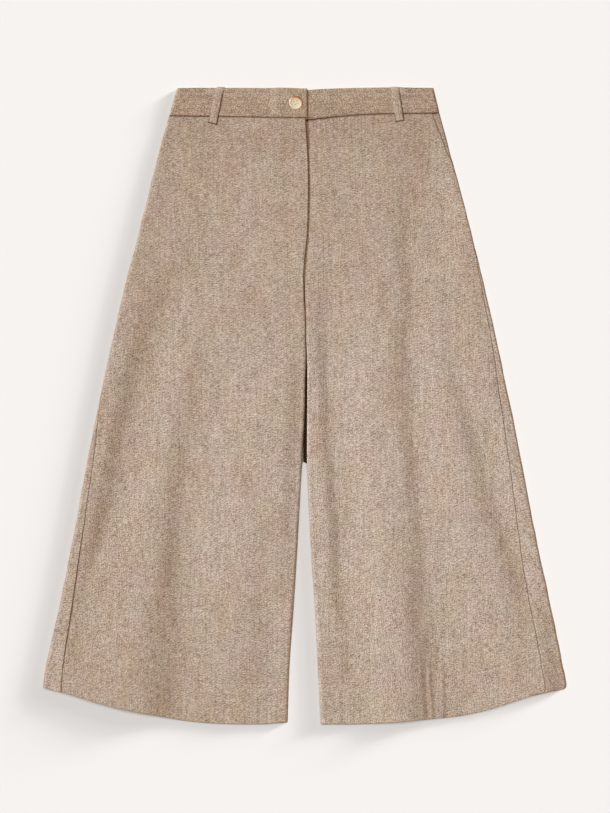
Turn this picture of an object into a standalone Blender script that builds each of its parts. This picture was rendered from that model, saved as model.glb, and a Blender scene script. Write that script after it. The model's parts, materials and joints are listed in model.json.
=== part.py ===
"""Wide culottes with a fly front, laid flat on their back with the front up.

Sizes are in millimetres until a mesh is made, and a mesh is in metres. A point of the cloth is
given by x, which runs to the wearer's left from the middle of the front, by drop, which runs down
from the top edge of the waistband, and by height above the surface that the garment lies on.
Right and left are the wearer's. Each leg is a flattened loop of cloth: the back wall lies on the
surface, turns up at the side fold and the inner fold, and the front wall lies on it in soft waves.
"""

import math
from collections import namedtuple

import bmesh
import bpy

MM = 0.001

# Cloth, seams and hem
CLOTH = 1.2
SEAM_GAP = 0.3
HEM_DEPTH = 52.0
HEM_CLOTH = 2 * CLOTH
HEM_STEP = 2.0
EASE = 0.35
EDGE_ROW = 1.2
FOLD_END = 0.5
FLAT_ROLL = 0.01
SMOOTH_ANGLE = math.radians(50)

# Waistband
BAND_CLOTH = 2.8
BAND_ROUND = 1.0
BAND_STACK = 2 * BAND_CLOTH + 0.5
BAND_LAP = 2.0
BAND_UNDERLAP = 30.0
BAND_SEAM_SHARE = 0.55
BAND_SLOPE_FAR = 18.0
BAND_SLOPE_NEAR = 2.0
BAND_FOLD_STEPS = 6
BAND_FRONT_STEPS = 18
BAND_BACK_STEPS = 4

# Fly: the right front lies over the left one
LAP_LIFT = CLOTH + SEAM_GAP
LAP_LIFT_AT_WAIST = 2.6
LAP_SLOPE_FAR = 70.0
LAP_SLOPE_NEAR = 10.0
LAP_RISE_FROM_DROP = 95.0
LAP_FOOT_MARGIN = 12.0
LAP_FOOT_EASE = 4.0

# Belt loops
LOOP_CLOTH = 1.4
LOOP_TOP_WIDTH = 10.4
LOOP_FOOT_WIDTH = 12.0
LOOP_SPARE = 0.45
LOOP_ROUND = 0.6
LOOP_OVER_SEAM = 0.35
LOOP_FOOT_BULGE = 0.3
LOOP_BEFORE_SEAM = 1.5
LOOP_AFTER_SEAM = 2.0

# Button
BUTTON_X = -12.3
BUTTON_DROP = 19.5
BUTTON_HOLE = 1.7
BUTTON_HOLE_SPREAD = 3.6
BUTTON_HOLE_TURN = math.radians(18)
BUTTON_SIDES = 32
BUTTON_HOLE_SIDES = 10
BUTTON_SMOOTH_ANGLE = math.radians(35)
CUTTER_SPARE = 1.0

RIGHT = "right"
LEFT = "left"
SIGN = {RIGHT: -1, LEFT: 1}

# Each leg's outer edge as it lies, as a distance from the middle
Edge = namedtuple("Edge", "drop right left")
OUTER_EDGE = (
    Edge(-3, 166, 166),
    Edge(36, 177.6, 175.4),
    Edge(81, 190, 187.6),
    Edge(159, 209.6, 208.5),
    Edge(263, 236.2, 234),
    Edge(367, 259.8, 257),
    Edge(471, 281, 278.4),
    Edge(575, 300.4, 298.2),
    Edge(679, 321.2, 320.3),
    Edge(757, 338.5, 336.2),
    Edge(785, 342.2, 341.6),
)

# Each leg's inner edge. Above the fork it is the middle of the front
INNER_EDGE = (
    Edge(30, 0.15, 0.15),
    Edge(309, 0.15, 0.15),
    Edge(350, -1.0, 1.5),
    Edge(382, 0.2, 1.9),
    Edge(412, 0.6, 1.8),
    Edge(474, 3.1, 1.4),
    Edge(497, 4.6, 2.1),
    Edge(600, 10.3, 7),
    Edge(679, 15.2, 12.4),
    Edge(757, 20.6, 16.3),
    Edge(830, 23, 20),
)

# How far past its inner edge a front runs: the right one to the fly's edge, the left one as underlap
FRONT_PAST = (
    Edge(30, 0, 28),
    Edge(92, 5, 28),
    Edge(139, 5, 28),
    Edge(188, 3.4, 26),
    Edge(222, -0.6, 18),
    Edge(246, -2.2, 2.6),
    Edge(262, -1.7, 1.7),
    Edge(309, 0.3, -0.3),
    Edge(340, 0, 0),
    Edge(830, 0, 0),
)

# The seam between the backs, as x from the middle. Down to the fork the left back closes it
Seam = namedtuple("Seam", "drop x")
BACK_SEAM = (
    Seam(30, 0),
    Seam(350, 0),
    Seam(412, -2.9),
    Seam(485, -3.3),
)
BACK_SEAM_GAP = 0.4
FORK_DROP = 488

# How far a wall is rolled round the inner fold: 0 is flat and 1 is a whole quarter turn
Roll = namedtuple("Roll", "drop front back")
INNER_ROLL = (
    Roll(30, 0, 0),
    Roll(309, 0, 0),
    Roll(345, 0.5, 0),
    Roll(385, 1, 0),
    Roll(492, 1, 0),
    Roll(512, 1, 1),
    Roll(830, 1, 1),
)

# The side seam, as millimetres of cloth from the side fold on to the front face
SIDE_SEAM = (
    Edge(30, -1.5, 11.5),
    Edge(55, -1.5, 8.3),
    Edge(80, -1.5, 5.9),
    Edge(104, -1.5, 0.5),
    Edge(190, -1.5, 0.5),
    Edge(226, -1.5, 3.6),
    Edge(285, -1.5, 6.2),
    Edge(330, -1.5, 8.2),
    Edge(380, 0.5, 11.3),
    Edge(425, 5.2, 14.2),
    Edge(485, 10.3, 17.3),
    Edge(560, 13.1, 21.8),
    Edge(660, 18.2, 27.5),
    Edge(720, 22.4, 28.3),
    Edge(785, 27.5, 29.9),
)

# Top edge and lower seam of the waistband, in front and at the back, by distance from the middle
Waist = namedtuple("Waist", "out right left back_right back_left")
BAND_TOP = (
    Waist(0, 0.6, 2.5, 4.2, 4.2),
    Waist(36, -0.1, 0.5, 3.4, 3.2),
    Waist(81, -0.3, -0.7, 1.8, 1.4),
    Waist(126, -0.5, -1.1, 0.5, 0.1),
    Waist(180, -0.2, -0.2, -0.2, -0.2),
)
WAIST_SEAM = (
    Waist(0, 39, 42, 40, 40),
    Waist(36, 38.6, 38, 39.9, 39.3),
    Waist(81, 37.6, 34.3, 38.7, 37.3),
    Waist(126, 37, 33.2, 37.7, 35),
    Waist(180, 36.2, 32.4, 36.2, 32.4),
)
# The hem by distance from the middle
Line = namedtuple("Line", "out right left")
HEM = (
    Line(20, 825, 827),
    Line(60, 827.3, 827.2),
    Line(110, 826.5, 825),
    Line(150, 823.4, 821.5),
    Line(195, 815.4, 818),
    Line(235, 807.6, 810.4),
    Line(275, 797.6, 798.1),
    Line(310, 787, 787.2),
    Line(342, 779.8, 781.8),
)

# Height of the front wall's outer face: in a fold's bottom, on a crest, and at the side fold and the
# inner fold of each leg
Fullness = namedtuple("Fullness", "drop trough crest outer_right outer_left inner_right inner_left")
FULLNESS = (
    Fullness(30, 5.3, 5.3, 5.3, 5.3, 5.3, 5.3),
    Fullness(95, 3.4, 5.9, 6.2, 5.0, 5.0, 5.0),
    Fullness(200, 3.0, 6.8, 7.0, 5.4, 4.8, 5.4),
    Fullness(400, 2.9, 8.6, 7.2, 6.0, 5.4, 6.4),
    Fullness(600, 2.9, 9.6, 7.8, 6.4, 6.8, 7.4),
    Fullness(700, 3.8, 10.2, 8.2, 6.6, 6.4, 7.4),
    Fullness(772, 5.0, 10.8, 8.4, 6.8, 5.8, 7.4),
    Fullness(830, 5.1, 11.2, 8.4, 7.0, 5.6, 7.4),
)
EDGE_REACH = 28.0

# The large folds: a row says where a fold's bottom runs, how wide it is and how deep, from 0 to 1
Fold = namedtuple("Fold", "drop x width depth")
FOLDS = {
    "right_outer": (
        Fold(198, -152, 22, 0.0),
        Fold(276, -175, 26, 0.8),
        Fold(380, -213, 22, 1.0),
        Fold(471, -235, 22, 1.0),
        Fold(562, -254, 20, 0.8),
        Fold(640, -276, 20, 0.45),
        Fold(718, -292, 22, 0.3),
        Fold(790, -306, 20, 0.0),
    ),
    "right_middle": (
        Fold(276, -112, 20, 0.0),
        Fold(380, -128, 24, 0.65),
        Fold(471, -147, 22, 0.72),
        Fold(562, -157, 22, 0.9),
        Fold(640, -160, 24, 0.95),
        Fold(718, -155, 33, 1.0),
        Fold(783, -155, 36, 1.0),
        Fold(830, -153, 37, 1.0),
    ),
    "right_inner": (
        Fold(560, -50, 16, 0.0),
        Fold(640, -44, 24, 0.4),
        Fold(718, -38, 36, 0.75),
        Fold(783, -32, 48, 1.0),
        Fold(830, -28, 50, 1.0),
    ),
    "left_inner": (
        Fold(220, 28, 14, 0.0),
        Fold(276, 31, 15, 0.5),
        Fold(380, 31, 15, 0.85),
        Fold(471, 38, 16, 0.8),
        Fold(562, 46, 16, 0.75),
        Fold(640, 50, 16, 0.75),
        Fold(718, 62, 20, 0.4),
        Fold(830, 74, 20, 0.35),
    ),
    "left_middle": (
        Fold(46, 160, 22, 0.0),
        Fold(81, 152, 22, 0.7),
        Fold(172, 136, 18, 0.9),
        Fold(276, 139, 16, 0.7),
        Fold(380, 140, 17, 0.7),
        Fold(471, 146, 16, 0.65),
        Fold(562, 154, 18, 0.6),
        Fold(640, 162, 22, 0.85),
        Fold(718, 176, 29, 1.0),
        Fold(783, 189, 38, 1.0),
        Fold(830, 193, 41, 1.0),
    ),
    "left_hip": (
        Fold(46, 180, 20, 0.0),
        Fold(90, 180, 21, 0.6),
        Fold(172, 177, 20, 0.65),
        Fold(250, 182, 20, 0.0),
    ),
    "left_outer": (
        Fold(230, 180, 14, 0.0),
        Fold(276, 188, 16, 0.35),
        Fold(380, 204, 16, 0.5),
        Fold(471, 232, 19, 0.8),
        Fold(562, 257, 18, 0.75),
        Fold(640, 285, 19, 0.7),
        Fold(718, 298, 18, 0.2),
        Fold(760, 302, 18, 0.0),
    ),
}
# Where the front wall swells above its crest height beside a fold, by so many millimetres
SWELLS = {
    "right_hem": (
        Fold(560, -206, 26, 0.0),
        Fold(640, -210, 28, 0.6),
        Fold(718, -213, 32, 2.2),
        Fold(783, -213, 34, 3.2),
        Fold(830, -212, 35, 3.6),
    ),
    "left_hem": (
        Fold(560, 120, 18, 0.0),
        Fold(640, 122, 20, 1.2),
        Fold(718, 125, 24, 3.0),
        Fold(783, 128, 28, 4.8),
        Fold(830, 130, 30, 5.2),
    ),
}
# A fold falls steeply to its bottom from the wearer's right and rises this many times as slowly beyond,
# and a swell rises as slowly and falls as steeply
FOLD_LEAN = 2.4

# Rows of the legs, by the drop of their inner end. The hem adds its own
ROW_DROPS = (
    56, 80, 110, 150, 190, 216, 236, 250, 264, 286, 309, 332, 358, 385, 412,
    446, 474, 485, 492, 500, 514, 552, 600, 650, 700, 740,
)
# Columns: millimetres from the side seam, then equal steps, then shares of the inner roll
SEAM_COLUMNS = (0, 1.0, 2.4, 4.2, 8.0)
FRONT_STEPS = 26
BACK_STEPS = 6
ROLL_COLUMNS = (0.36, 0.7, 0.94, 1.0)
# Shares of the way from the side seam round the fold to the flat back
FOLD_COLUMNS = (0, 0.03, 0.3, 0.55, 0.72, 0.79, 0.86, 0.93, 1.0)

# Button, turned: distance from its axis and height over its flat base
Turn = namedtuple("Turn", "radius height")
BUTTON_PROFILE = (
    Turn(5.6, 0.0),
    Turn(7.6, 0.5),
    Turn(8.9, 1.5),
    Turn(9.0, 2.1),
    Turn(8.4, 2.8),
    Turn(7.3, 2.9),
    Turn(6.2, 2.2),
    Turn(4.4, 1.9),
)

# Belt loops: middle of the top end and of the foot
Loop = namedtuple("Loop", "side top_x top_drop foot_x foot_drop")
BELT_LOOPS = (
    Loop(RIGHT, -110.2, -1.4, -121.1, 46.5),
    Loop(LEFT, 116.3, -1.6, 122.8, 43.5),
)
# How a loop lies at a share of its length: height of its inner face and what its folded ends add
Lay = namedtuple("Lay", "share height extra")

Finish = namedtuple("Finish", "colour roughness metallic")
CLOTH_FINISH = Finish((0.49, 0.375, 0.29, 1), 0.92, 0.0)
BAND_FINISH = Finish((0.42, 0.315, 0.235, 1), 0.92, 0.0)
LOOP_FINISH = Finish((0.47, 0.36, 0.275, 1), 0.92, 0.0)
BUTTON_FINISH = Finish((0.70, 0.58, 0.43, 1), 0.35, 0.0)


def mix(start, end, share):
    """The value at a share of the way from start to end."""
    return start + (end - start) * share


def ease_between(low, high, value):
    """0 up to low, 1 from high on, and a smooth rise between them."""
    share = min(max((value - low) / (high - low), 0), 1)
    return share * share * (3 - 2 * share)


def read(table, place, name):
    """A table's named column at a place, on a smooth curve through its rows that never overshoots."""
    at = [row[0] for row in table]
    value = [getattr(row, name) for row in table]
    place = min(max(place, at[0]), at[-1])
    k = max(i for i in range(len(at) - 1) if at[i] <= place)
    slopes = [(value[i + 1] - value[i]) / (at[i + 1] - at[i]) for i in range(len(at) - 1)]

    def tangent(i):
        before = slopes[max(i - 1, 0)]
        after = slopes[min(i, len(slopes) - 1)]
        if before * after <= 0:
            return 0.0
        return 2 * before * after / (before + after)

    span = at[k + 1] - at[k]
    t = (place - at[k]) / span
    return (
        value[k] * (1 + 2 * t) * (1 - t) ** 2
        + tangent(k) * span * t * (1 - t) ** 2
        + value[k + 1] * t * t * (3 - 2 * t)
        + tangent(k + 1) * span * t * t * (t - 1)
    )


def bumps(table, x, drop, lean):
    """The heights that a table's folds or swells have at a point, each with its slow side's lean."""
    heights = []
    for rows in table.values():
        if drop > rows[0].drop:
            across = (x - read(rows, drop, "x")) / read(rows, drop, "width")
            if across * lean > 0:
                across /= FOLD_LEAN
            heights.append(read(rows, drop, "depth") * math.exp(-across * across))
    return heights


def fold_depth(x, drop):
    """How far the folds take the front wall down from its crest height: 0 none, 1 all."""
    return min(sum(bumps(FOLDS, x, drop, SIGN[LEFT])), 1.0)


def swell_height(x, drop):
    """How far the swells beside the folds take the front wall up."""
    return sum(bumps(SWELLS, x, drop, SIGN[RIGHT]))


def lap_lift(x, drop):
    """How much higher the right front lies over the left one's underlap."""
    underlap = read(FRONT_PAST, drop - LAP_FOOT_MARGIN, LEFT)
    if underlap <= 0:
        return 0.0
    nearness = ease_between(-underlap - LAP_SLOPE_FAR, -underlap - LAP_SLOPE_NEAR, x)
    below_waist = ease_between(WAIST_SEAM[0].right, LAP_RISE_FROM_DROP, drop)
    lift = mix(LAP_LIFT_AT_WAIST, LAP_LIFT, below_waist)
    return lift * nearness * ease_between(0, LAP_FOOT_EASE, underlap)


class Row:
    """One row of a leg, from its inner edge to its outer edge, with the walls' heights on it."""

    def __init__(self, side, share, waist):
        self.side = side
        self.share = share
        self.waist = waist
        top_in, top_out = getattr(WAIST_SEAM[0], waist), getattr(WAIST_SEAM[-1], waist)
        hem_in, hem_out = getattr(HEM[0], side), getattr(HEM[-1], side)
        top_gap = SEAM_GAP * (1 - share)
        self.inner_drop = mix(top_in, hem_in, share) + top_gap
        self.outer_drop = mix(top_out, hem_out, share) + top_gap
        self.inner = read(INNER_EDGE, self.inner_drop, side)
        self.outer = read(OUTER_EDGE, self.outer_drop, side)
        self.width = self.outer - self.inner
        self.cloth = HEM_CLOTH if share > hem_share() else CLOTH
        self.outer_radius = read(FULLNESS, self.outer_drop, "outer_" + side) / 2
        self.inner_radius = read(FULLNESS, self.inner_drop, "inner_" + side) / 2
        self.front_roll = read(INNER_ROLL, self.inner_drop, "front")
        self.back_roll = read(INNER_ROLL, self.inner_drop, "back")
        self.seam = read(SIDE_SEAM, self.outer_drop, side)

    def drop(self, across):
        """The drop at a share of the way from the inner to the outer edge."""
        straight = mix(self.inner_drop, self.outer_drop, across)
        share = min(max(across, 0), 1)
        sag = 0.0
        ends = ((WAIST_SEAM, self.waist, 1 - self.share), (HEM, self.side, self.share))
        for line, name, weight in ends:
            chord = mix(getattr(line[0], name), getattr(line[-1], name), share)
            out = mix(line[0].out, line[-1].out, share)
            sag += weight * (read(line, out, name) - chord)
        return straight + sag

    def plan(self, inset):
        """The x and drop of a point that lies so many millimetres in from the outer edge."""
        across = 1 - inset / self.width
        return SIGN[self.side] * mix(self.inner, self.outer, across), self.drop(across)

    def front_height(self, inset):
        """Height of the front wall's outer face at an inset from the outer edge."""
        x, drop = self.plan(inset)
        trough = read(FULLNESS, drop, "trough")
        crest = read(FULLNESS, drop, "crest") + swell_height(x, drop)
        height = mix(crest, trough, fold_depth(x, drop))
        near_outer = 1 - ease_between(self.outer_radius, EDGE_REACH, inset)
        height = mix(height, 2 * self.outer_radius, near_outer)
        from_inner = self.width - inset
        near_inner = self.front_roll * (1 - ease_between(self.inner_radius, EDGE_REACH, from_inner))
        height = mix(height, 2 * self.inner_radius, near_inner)
        if self.side == RIGHT:
            height += lap_lift(x, drop)
        return height


def hem_share():
    """The share of a leg's length, from the waist seam, at which its hem begins."""
    return 1 - HEM_DEPTH / (HEM[0].right - WAIST_SEAM[0].right)


def leg_rows(side, waist):
    """All rows of a leg's front or back, closer together at the top edge, the fork and the hem."""
    start, end = getattr(WAIST_SEAM[0], side), getattr(HEM[0], side)
    length = end - start
    shares = [0, EDGE_ROW / length]
    shares += [(drop - start) / length for drop in ROW_DROPS]
    step = HEM_STEP / length
    hem = hem_share()
    shares += [hem, hem + step, mix(hem, 1, 0.5), 1 - EDGE_ROW / length, 1]
    return [Row(side, share, waist) for share in shares]


def folded_point(row, around):
    """A point of the wall near the side fold, and the way out of the cloth there.

    around is in millimetres of cloth from the fold's outermost line, towards the front if positive.
    The point is given as an inset from the outer edge and a height, the way out as two shares.
    """
    radius = row.outer_radius
    quarter = radius * math.pi / 2
    if around > quarter:
        inset = radius + around - quarter
        return (inset, row.front_height(inset)), (0, 1)
    if around < -quarter:
        return (radius - around - quarter, 0), (0, -1)
    angle = around / radius
    way_out = (-math.cos(angle), math.sin(angle))
    return (radius * (1 - math.cos(angle)), radius * (1 + math.sin(angle))), way_out


def rolled_point(row, past, roll, along, is_front):
    """A point of the wall within its inner roll, along is 0 where the roll starts and 1 at its end."""
    radius = row.inner_radius
    length = radius * math.pi / 2 - SEAM_GAP / 2
    edge = row.width + past
    if roll < FLAT_ROLL:
        inset = edge - length * (1 - along)
        height = row.front_height(inset) if is_front else 0
        return (inset, height), (0, 1 if is_front else -1)
    bend = radius / roll
    angle = roll * along * length / radius
    inset = edge - bend * math.sin(roll * length / radius) + bend * math.sin(angle)
    turn = bend * (1 - math.cos(angle))
    height = row.front_height(inset) - turn if is_front else turn
    return (inset, height), (math.sin(angle), math.cos(angle) if is_front else -math.cos(angle))


def roll_start(row, past, roll):
    """The inset at which a wall's inner roll starts."""
    radius = row.inner_radius
    length = radius * math.pi / 2 - SEAM_GAP / 2
    if roll < FLAT_ROLL:
        return row.width + past - length
    return row.width + past - radius / roll * math.sin(roll * length / radius)


def front_section(row):
    """Points of a front's section from the side seam to its inner edge, each with its way out."""
    past = read(FRONT_PAST, row.inner_drop, row.side)
    points = [folded_point(row, row.seam + SEAM_GAP / 2 + step) for step in SEAM_COLUMNS]
    first = points[-1][0][0]
    last = roll_start(row, past, row.front_roll)
    for k in range(1, FRONT_STEPS + 1):
        inset = mix(first, last, k / FRONT_STEPS)
        points.append(((inset, row.front_height(inset)), (0, 1)))
    for along in ROLL_COLUMNS:
        points.append(rolled_point(row, past, row.front_roll, along, True))
    return points


def back_section(row):
    """Points of a back's section from the side seam, round the fold and to its inner edge."""
    past = 0
    if row.inner_drop < FORK_DROP:
        seam = SIGN[row.side] * read(BACK_SEAM, row.inner_drop, "x")
        past = row.inner - seam - BACK_SEAM_GAP / 2
    quarter = row.outer_radius * math.pi / 2
    start = row.seam - SEAM_GAP / 2
    points = [folded_point(row, mix(start, -quarter - FOLD_END, share)) for share in FOLD_COLUMNS]
    first = points[-1][0][0]
    last = roll_start(row, past, row.back_roll)
    for k in range(1, BACK_STEPS + 1):
        points.append(((mix(first, last, k / BACK_STEPS), 0), (0, -1)))
    for along in ROLL_COLUMNS:
        points.append(rolled_point(row, past, row.back_roll, along, False))
    return points


def to_metres(x, drop, height):
    """A point in metres, with the waist end towards +Y."""
    return (x * MM, -drop * MM, height * MM)


def place(row, section_point, way_out, depth):
    """A section's point, taken into the cloth by a depth, as x, drop and height in metres."""
    inset = section_point[0] - way_out[0] * depth
    height = section_point[1] - way_out[1] * depth
    x, drop = row.plan(inset)
    return to_metres(x, drop, height)


def panel_faces(outer, inner):
    """A closed wall between two equal grids of points."""
    rows, columns = len(outer), len(outer[0])
    points = [p for grid in (outer, inner) for line in grid for p in line]
    shift = rows * columns

    def at(r, c, side):
        return side * shift + r * columns + c

    faces = []
    for r in range(rows - 1):
        for c in range(columns - 1):
            for side in (0, 1):
                near = (at(r, c, side), at(r, c + 1, side))
                faces.append(near + (at(r + 1, c + 1, side), at(r + 1, c, side)))
    for r in range(rows - 1):
        for c in (0, columns - 1):
            faces.append((at(r, c, 0), at(r + 1, c, 0), at(r + 1, c, 1), at(r, c, 1)))
    for c in range(columns - 1):
        for r in (0, rows - 1):
            faces.append((at(r, c, 0), at(r, c + 1, 0), at(r, c + 1, 1), at(r, c, 1)))
    return points, faces


def make_material(name, finish):
    """A plain material with the finish's colour, roughness and metallic value."""
    material = bpy.data.materials.new(name)
    material.use_nodes = True
    shader = material.node_tree.nodes["Principled BSDF"]
    shader.inputs["Base Color"].default_value = finish.colour
    shader.inputs["Roughness"].default_value = finish.roughness
    shader.inputs["Metallic"].default_value = finish.metallic
    return material


def make_object(name, points, faces, finish, smooth_angle=SMOOTH_ANGLE):
    """A named object from points in metres, with its faces turned outwards and its own material."""
    mesh = bpy.data.meshes.new(name)
    form = bmesh.new()
    vertices = [form.verts.new(p) for p in points]
    for face in faces:
        form.faces.new([vertices[i] for i in face])
    bmesh.ops.recalc_face_normals(form, faces=form.faces)
    form.to_mesh(mesh)
    form.free()
    mesh.shade_smooth()
    mesh.set_sharp_from_angle(angle=smooth_angle)
    mesh.materials.append(make_material(name, finish))
    made = bpy.data.objects.new(name, mesh)
    bpy.context.scene.collection.objects.link(made)
    return made


def make_leg_panel(name, side, waist, section):
    """A leg's front or back as one wall of cloth, doubled at the hem, with eased edges."""
    outer, inner = [], []
    rows = leg_rows(side, waist)
    for r, row in enumerate(rows):
        points = section(row)
        outer_line, inner_line = [], []
        for c, (point, way_out) in enumerate(points):
            at_edge = r in (0, len(rows) - 1) or c in (0, len(points) - 1)
            ease = EASE if at_edge else 0
            outer_line.append(place(row, point, way_out, ease))
            inner_line.append(place(row, point, way_out, row.cloth - ease))
        outer.append(outer_line)
        inner.append(inner_line)
    return make_object(name, *panel_faces(outer, inner), CLOTH_FINISH)


def band_half_width(side):
    """Half the waistband's width at the middle of its height."""
    return (getattr(OUTER_EDGE[0], side) + getattr(OUTER_EDGE[1], side)) / 2


def band_ring(side, column, around, lift=0):
    """The ring of a waistband's section at a length of band from the side fold, with a lift."""
    radius = BAND_STACK / 2
    quarter = radius * math.pi / 2
    half_width = band_half_width(side)
    if around > quarter:
        inset, height, way_out = radius + around - quarter, 2 * radius, (0, 1)
    elif around < -quarter:
        inset, height, way_out = radius - around - quarter, 0, (0, -1)
    else:
        angle = around / radius
        inset, height = radius * (1 - math.cos(angle)), radius * (1 + math.sin(angle))
        way_out = (-math.cos(angle), math.sin(angle))
    out = half_width - inset
    along = WAIST_SEAM[-1].out * out / half_width
    top = read(BAND_TOP, along, column)
    seam = read(WAIST_SEAM, along, column)
    ring = []
    for drop, depth in rounded_rectangle(top, seam, BAND_CLOTH, BAND_ROUND):
        edge = read(OUTER_EDGE, drop, side)
        slant = (edge - half_width) * (1 - inset / half_width)
        x = SIGN[side] * (out + slant + way_out[0] * depth)
        ring.append(to_metres(x, drop, height + lift - way_out[1] * depth))
    return ring


def rounded_rectangle(top, foot, thickness, radius, steps=2):
    """A rounded rectangle's points, each a drop and a depth under the outer face."""
    corners = (
        (top + radius, radius, 180),
        (foot - radius, radius, 270),
        (foot - radius, thickness - radius, 0),
        (top + radius, thickness - radius, 90),
    )
    points = []
    for drop, depth, start in corners:
        for k in range(steps + 1):
            angle = math.radians(start + 90 * k / steps)
            points.append((drop + radius * math.cos(angle), depth + radius * math.sin(angle)))
    return points


def loft(rings):
    """The points and faces of a closed body through rings of equal length."""
    count = len(rings[0])
    points = [p for ring in rings for p in ring]
    faces = []
    for r in range(len(rings) - 1):
        for c in range(count):
            d = (c + 1) % count
            faces.append((r * count + c, r * count + d, (r + 1) * count + d, (r + 1) * count + c))
    faces.append(tuple(range(count)))
    faces.append(tuple(range((len(rings) - 1) * count, len(rings) * count)))
    return points, faces


def band_lift(x):
    """How much higher the right waistband lies where the left one's underlap is under it."""
    far = -BAND_UNDERLAP - BAND_SLOPE_FAR
    near = -BAND_UNDERLAP - BAND_SLOPE_NEAR
    return (BAND_CLOTH + SEAM_GAP) * ease_between(far, near, x)


def make_waistbands():
    """The two front bands, lapped and buttoned at the middle, and the back band."""
    radius = BAND_STACK / 2
    quarter = radius * math.pi / 2
    seam = -BAND_SEAM_SHARE * quarter
    fold_shares = [k / BAND_FOLD_STEPS for k in range(BAND_FOLD_STEPS + 1)]
    flat_shares = [k / BAND_FRONT_STEPS for k in range(1, BAND_FRONT_STEPS + 1)]
    round_fold = [mix(seam + SEAM_GAP / 2, quarter, share) for share in fold_shares]
    for side, end_x in ((RIGHT, BAND_LAP), (LEFT, -BAND_UNDERLAP)):
        half_width = band_half_width(side)
        reach = quarter + half_width - radius - SIGN[side] * end_x
        rings = []
        for around in round_fold + [mix(quarter, reach, share) for share in flat_shares]:
            x = SIGN[side] * (half_width - radius - around + quarter)
            lift = band_lift(x) if side == RIGHT else 0
            rings.append(band_ring(side, side, around, lift))
        make_object("waistband_" + side, *loft(rings), BAND_FINISH)

    rings = []
    for side in (RIGHT, LEFT):
        to_middle = -quarter - (band_half_width(side) - radius)
        under = [mix(seam - SEAM_GAP / 2, -quarter, share) for share in fold_shares[::2]]
        under += [mix(-quarter, to_middle, k / BAND_BACK_STEPS) for k in range(1, BAND_BACK_STEPS)]
        half = [band_ring(side, "back_" + side, around) for around in under]
        if side == RIGHT:
            rings = half + [band_ring(side, "back_" + side, to_middle)]
        else:
            rings += reversed(half)
    make_object("waistband_back", *loft(rings), BAND_FINISH)


def loop_lay(loop):
    """How a belt loop lies from its top end, over the waistband and its seam, to its foot."""
    seam = read(WAIST_SEAM, abs(loop.foot_x), loop.side)
    length = loop.foot_drop - loop.top_drop
    before_seam = (seam - LOOP_BEFORE_SEAM - loop.top_drop) / length
    after_seam = (seam + LOOP_AFTER_SEAM - loop.top_drop) / length
    band = BAND_STACK + SEAM_GAP
    panel = read(FULLNESS, loop.foot_drop, "crest") + SEAM_GAP
    return (
        Lay(0.0, band - 0.5, 0.0),
        Lay(0.03, band - 0.1, 0.2),
        Lay(0.1, band, 0.3),
        Lay(0.2, band + 0.1, 0.1),
        Lay(0.45, BAND_STACK + LOOP_SPARE, 0.0),
        Lay(0.7, BAND_STACK + LOOP_SPARE, 0.0),
        Lay(before_seam, BAND_STACK + LOOP_OVER_SEAM, 0.2),
        Lay(after_seam, panel + LOOP_FOOT_BULGE, 0.4),
        Lay(0.97, panel, 0.5),
        Lay(1.0, panel, 0.1),
    )


def make_belt_loop(loop):
    """A strip over the waistband, with a foot on the leg panel under it."""
    length = loop.foot_drop - loop.top_drop
    lean = (loop.foot_x - loop.top_x) / length
    rings = []
    for share, height, extra in loop_lay(loop):
        x = mix(loop.top_x, loop.foot_x, share)
        drop = mix(loop.top_drop, loop.foot_drop, share)
        half = mix(LOOP_TOP_WIDTH, LOOP_FOOT_WIDTH, share) / 2
        thickness = LOOP_CLOTH + extra
        ring = []
        for across, depth in rounded_rectangle(-half, half, thickness, LOOP_ROUND):
            ring.append(to_metres(x + across, drop - across * lean, height + thickness - depth))
        rings.append(ring)
    make_object("belt_loop_" + loop.side, *loft(rings), LOOP_FINISH)


def make_button():
    """A turned button with a raised rim, a dished middle and four holes, flat on the waistband."""
    base = BAND_STACK + BAND_CLOTH + 2 * SEAM_GAP
    top = base + max(turn.height for turn in BUTTON_PROFILE)
    rings = []
    for turn in BUTTON_PROFILE:
        ring = []
        for k in range(BUTTON_SIDES):
            angle = 2 * math.pi * k / BUTTON_SIDES
            x = BUTTON_X + turn.radius * math.cos(angle)
            drop = BUTTON_DROP - turn.radius * math.sin(angle)
            ring.append(to_metres(x, drop, base + turn.height))
        rings.append(ring)
    button = make_object("button", *loft(rings), BUTTON_FINISH, BUTTON_SMOOTH_ANGLE)
    for k in range(4):
        angle = BUTTON_HOLE_TURN + math.pi * (k + 0.5) / 2
        spread = BUTTON_HOLE_SPREAD / math.sqrt(2)
        x = BUTTON_X + spread * math.cos(angle)
        drop = BUTTON_DROP - spread * math.sin(angle)
        rings = []
        for height in (base - CUTTER_SPARE, top + CUTTER_SPARE):
            ring = []
            for corner in range(BUTTON_HOLE_SIDES):
                turn = 2 * math.pi * corner / BUTTON_HOLE_SIDES
                hole = BUTTON_HOLE / 2
                ring.append(to_metres(x + hole * math.cos(turn), drop - hole * math.sin(turn), height))
            rings.append(ring)
        cutter = make_object("hole_%d" % k, *loft(rings), BUTTON_FINISH)
        cutter.hide_render = True
        cutter.display_type = "WIRE"
        cut = button.modifiers.new("hole_%d" % k, "BOOLEAN")
        cut.operation = "DIFFERENCE"
        cut.object = cutter


def stand_on_origin():
    """Moves all points so that the middle of the garment's underside is at the origin."""
    solids = [o for o in bpy.data.objects if o.type == "MESH" and not o.hide_render]
    points = [v.co for o in solids for v in o.data.vertices]
    low = [min(p[i] for p in points) for i in range(3)]
    high = [max(p[i] for p in points) for i in range(3)]
    shift = ((low[0] + high[0]) / 2, (low[1] + high[1]) / 2, low[2])
    for made in bpy.data.objects:
        for vertex in made.data.vertices:
            vertex.co = [vertex.co[i] - shift[i] for i in range(3)]


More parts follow.
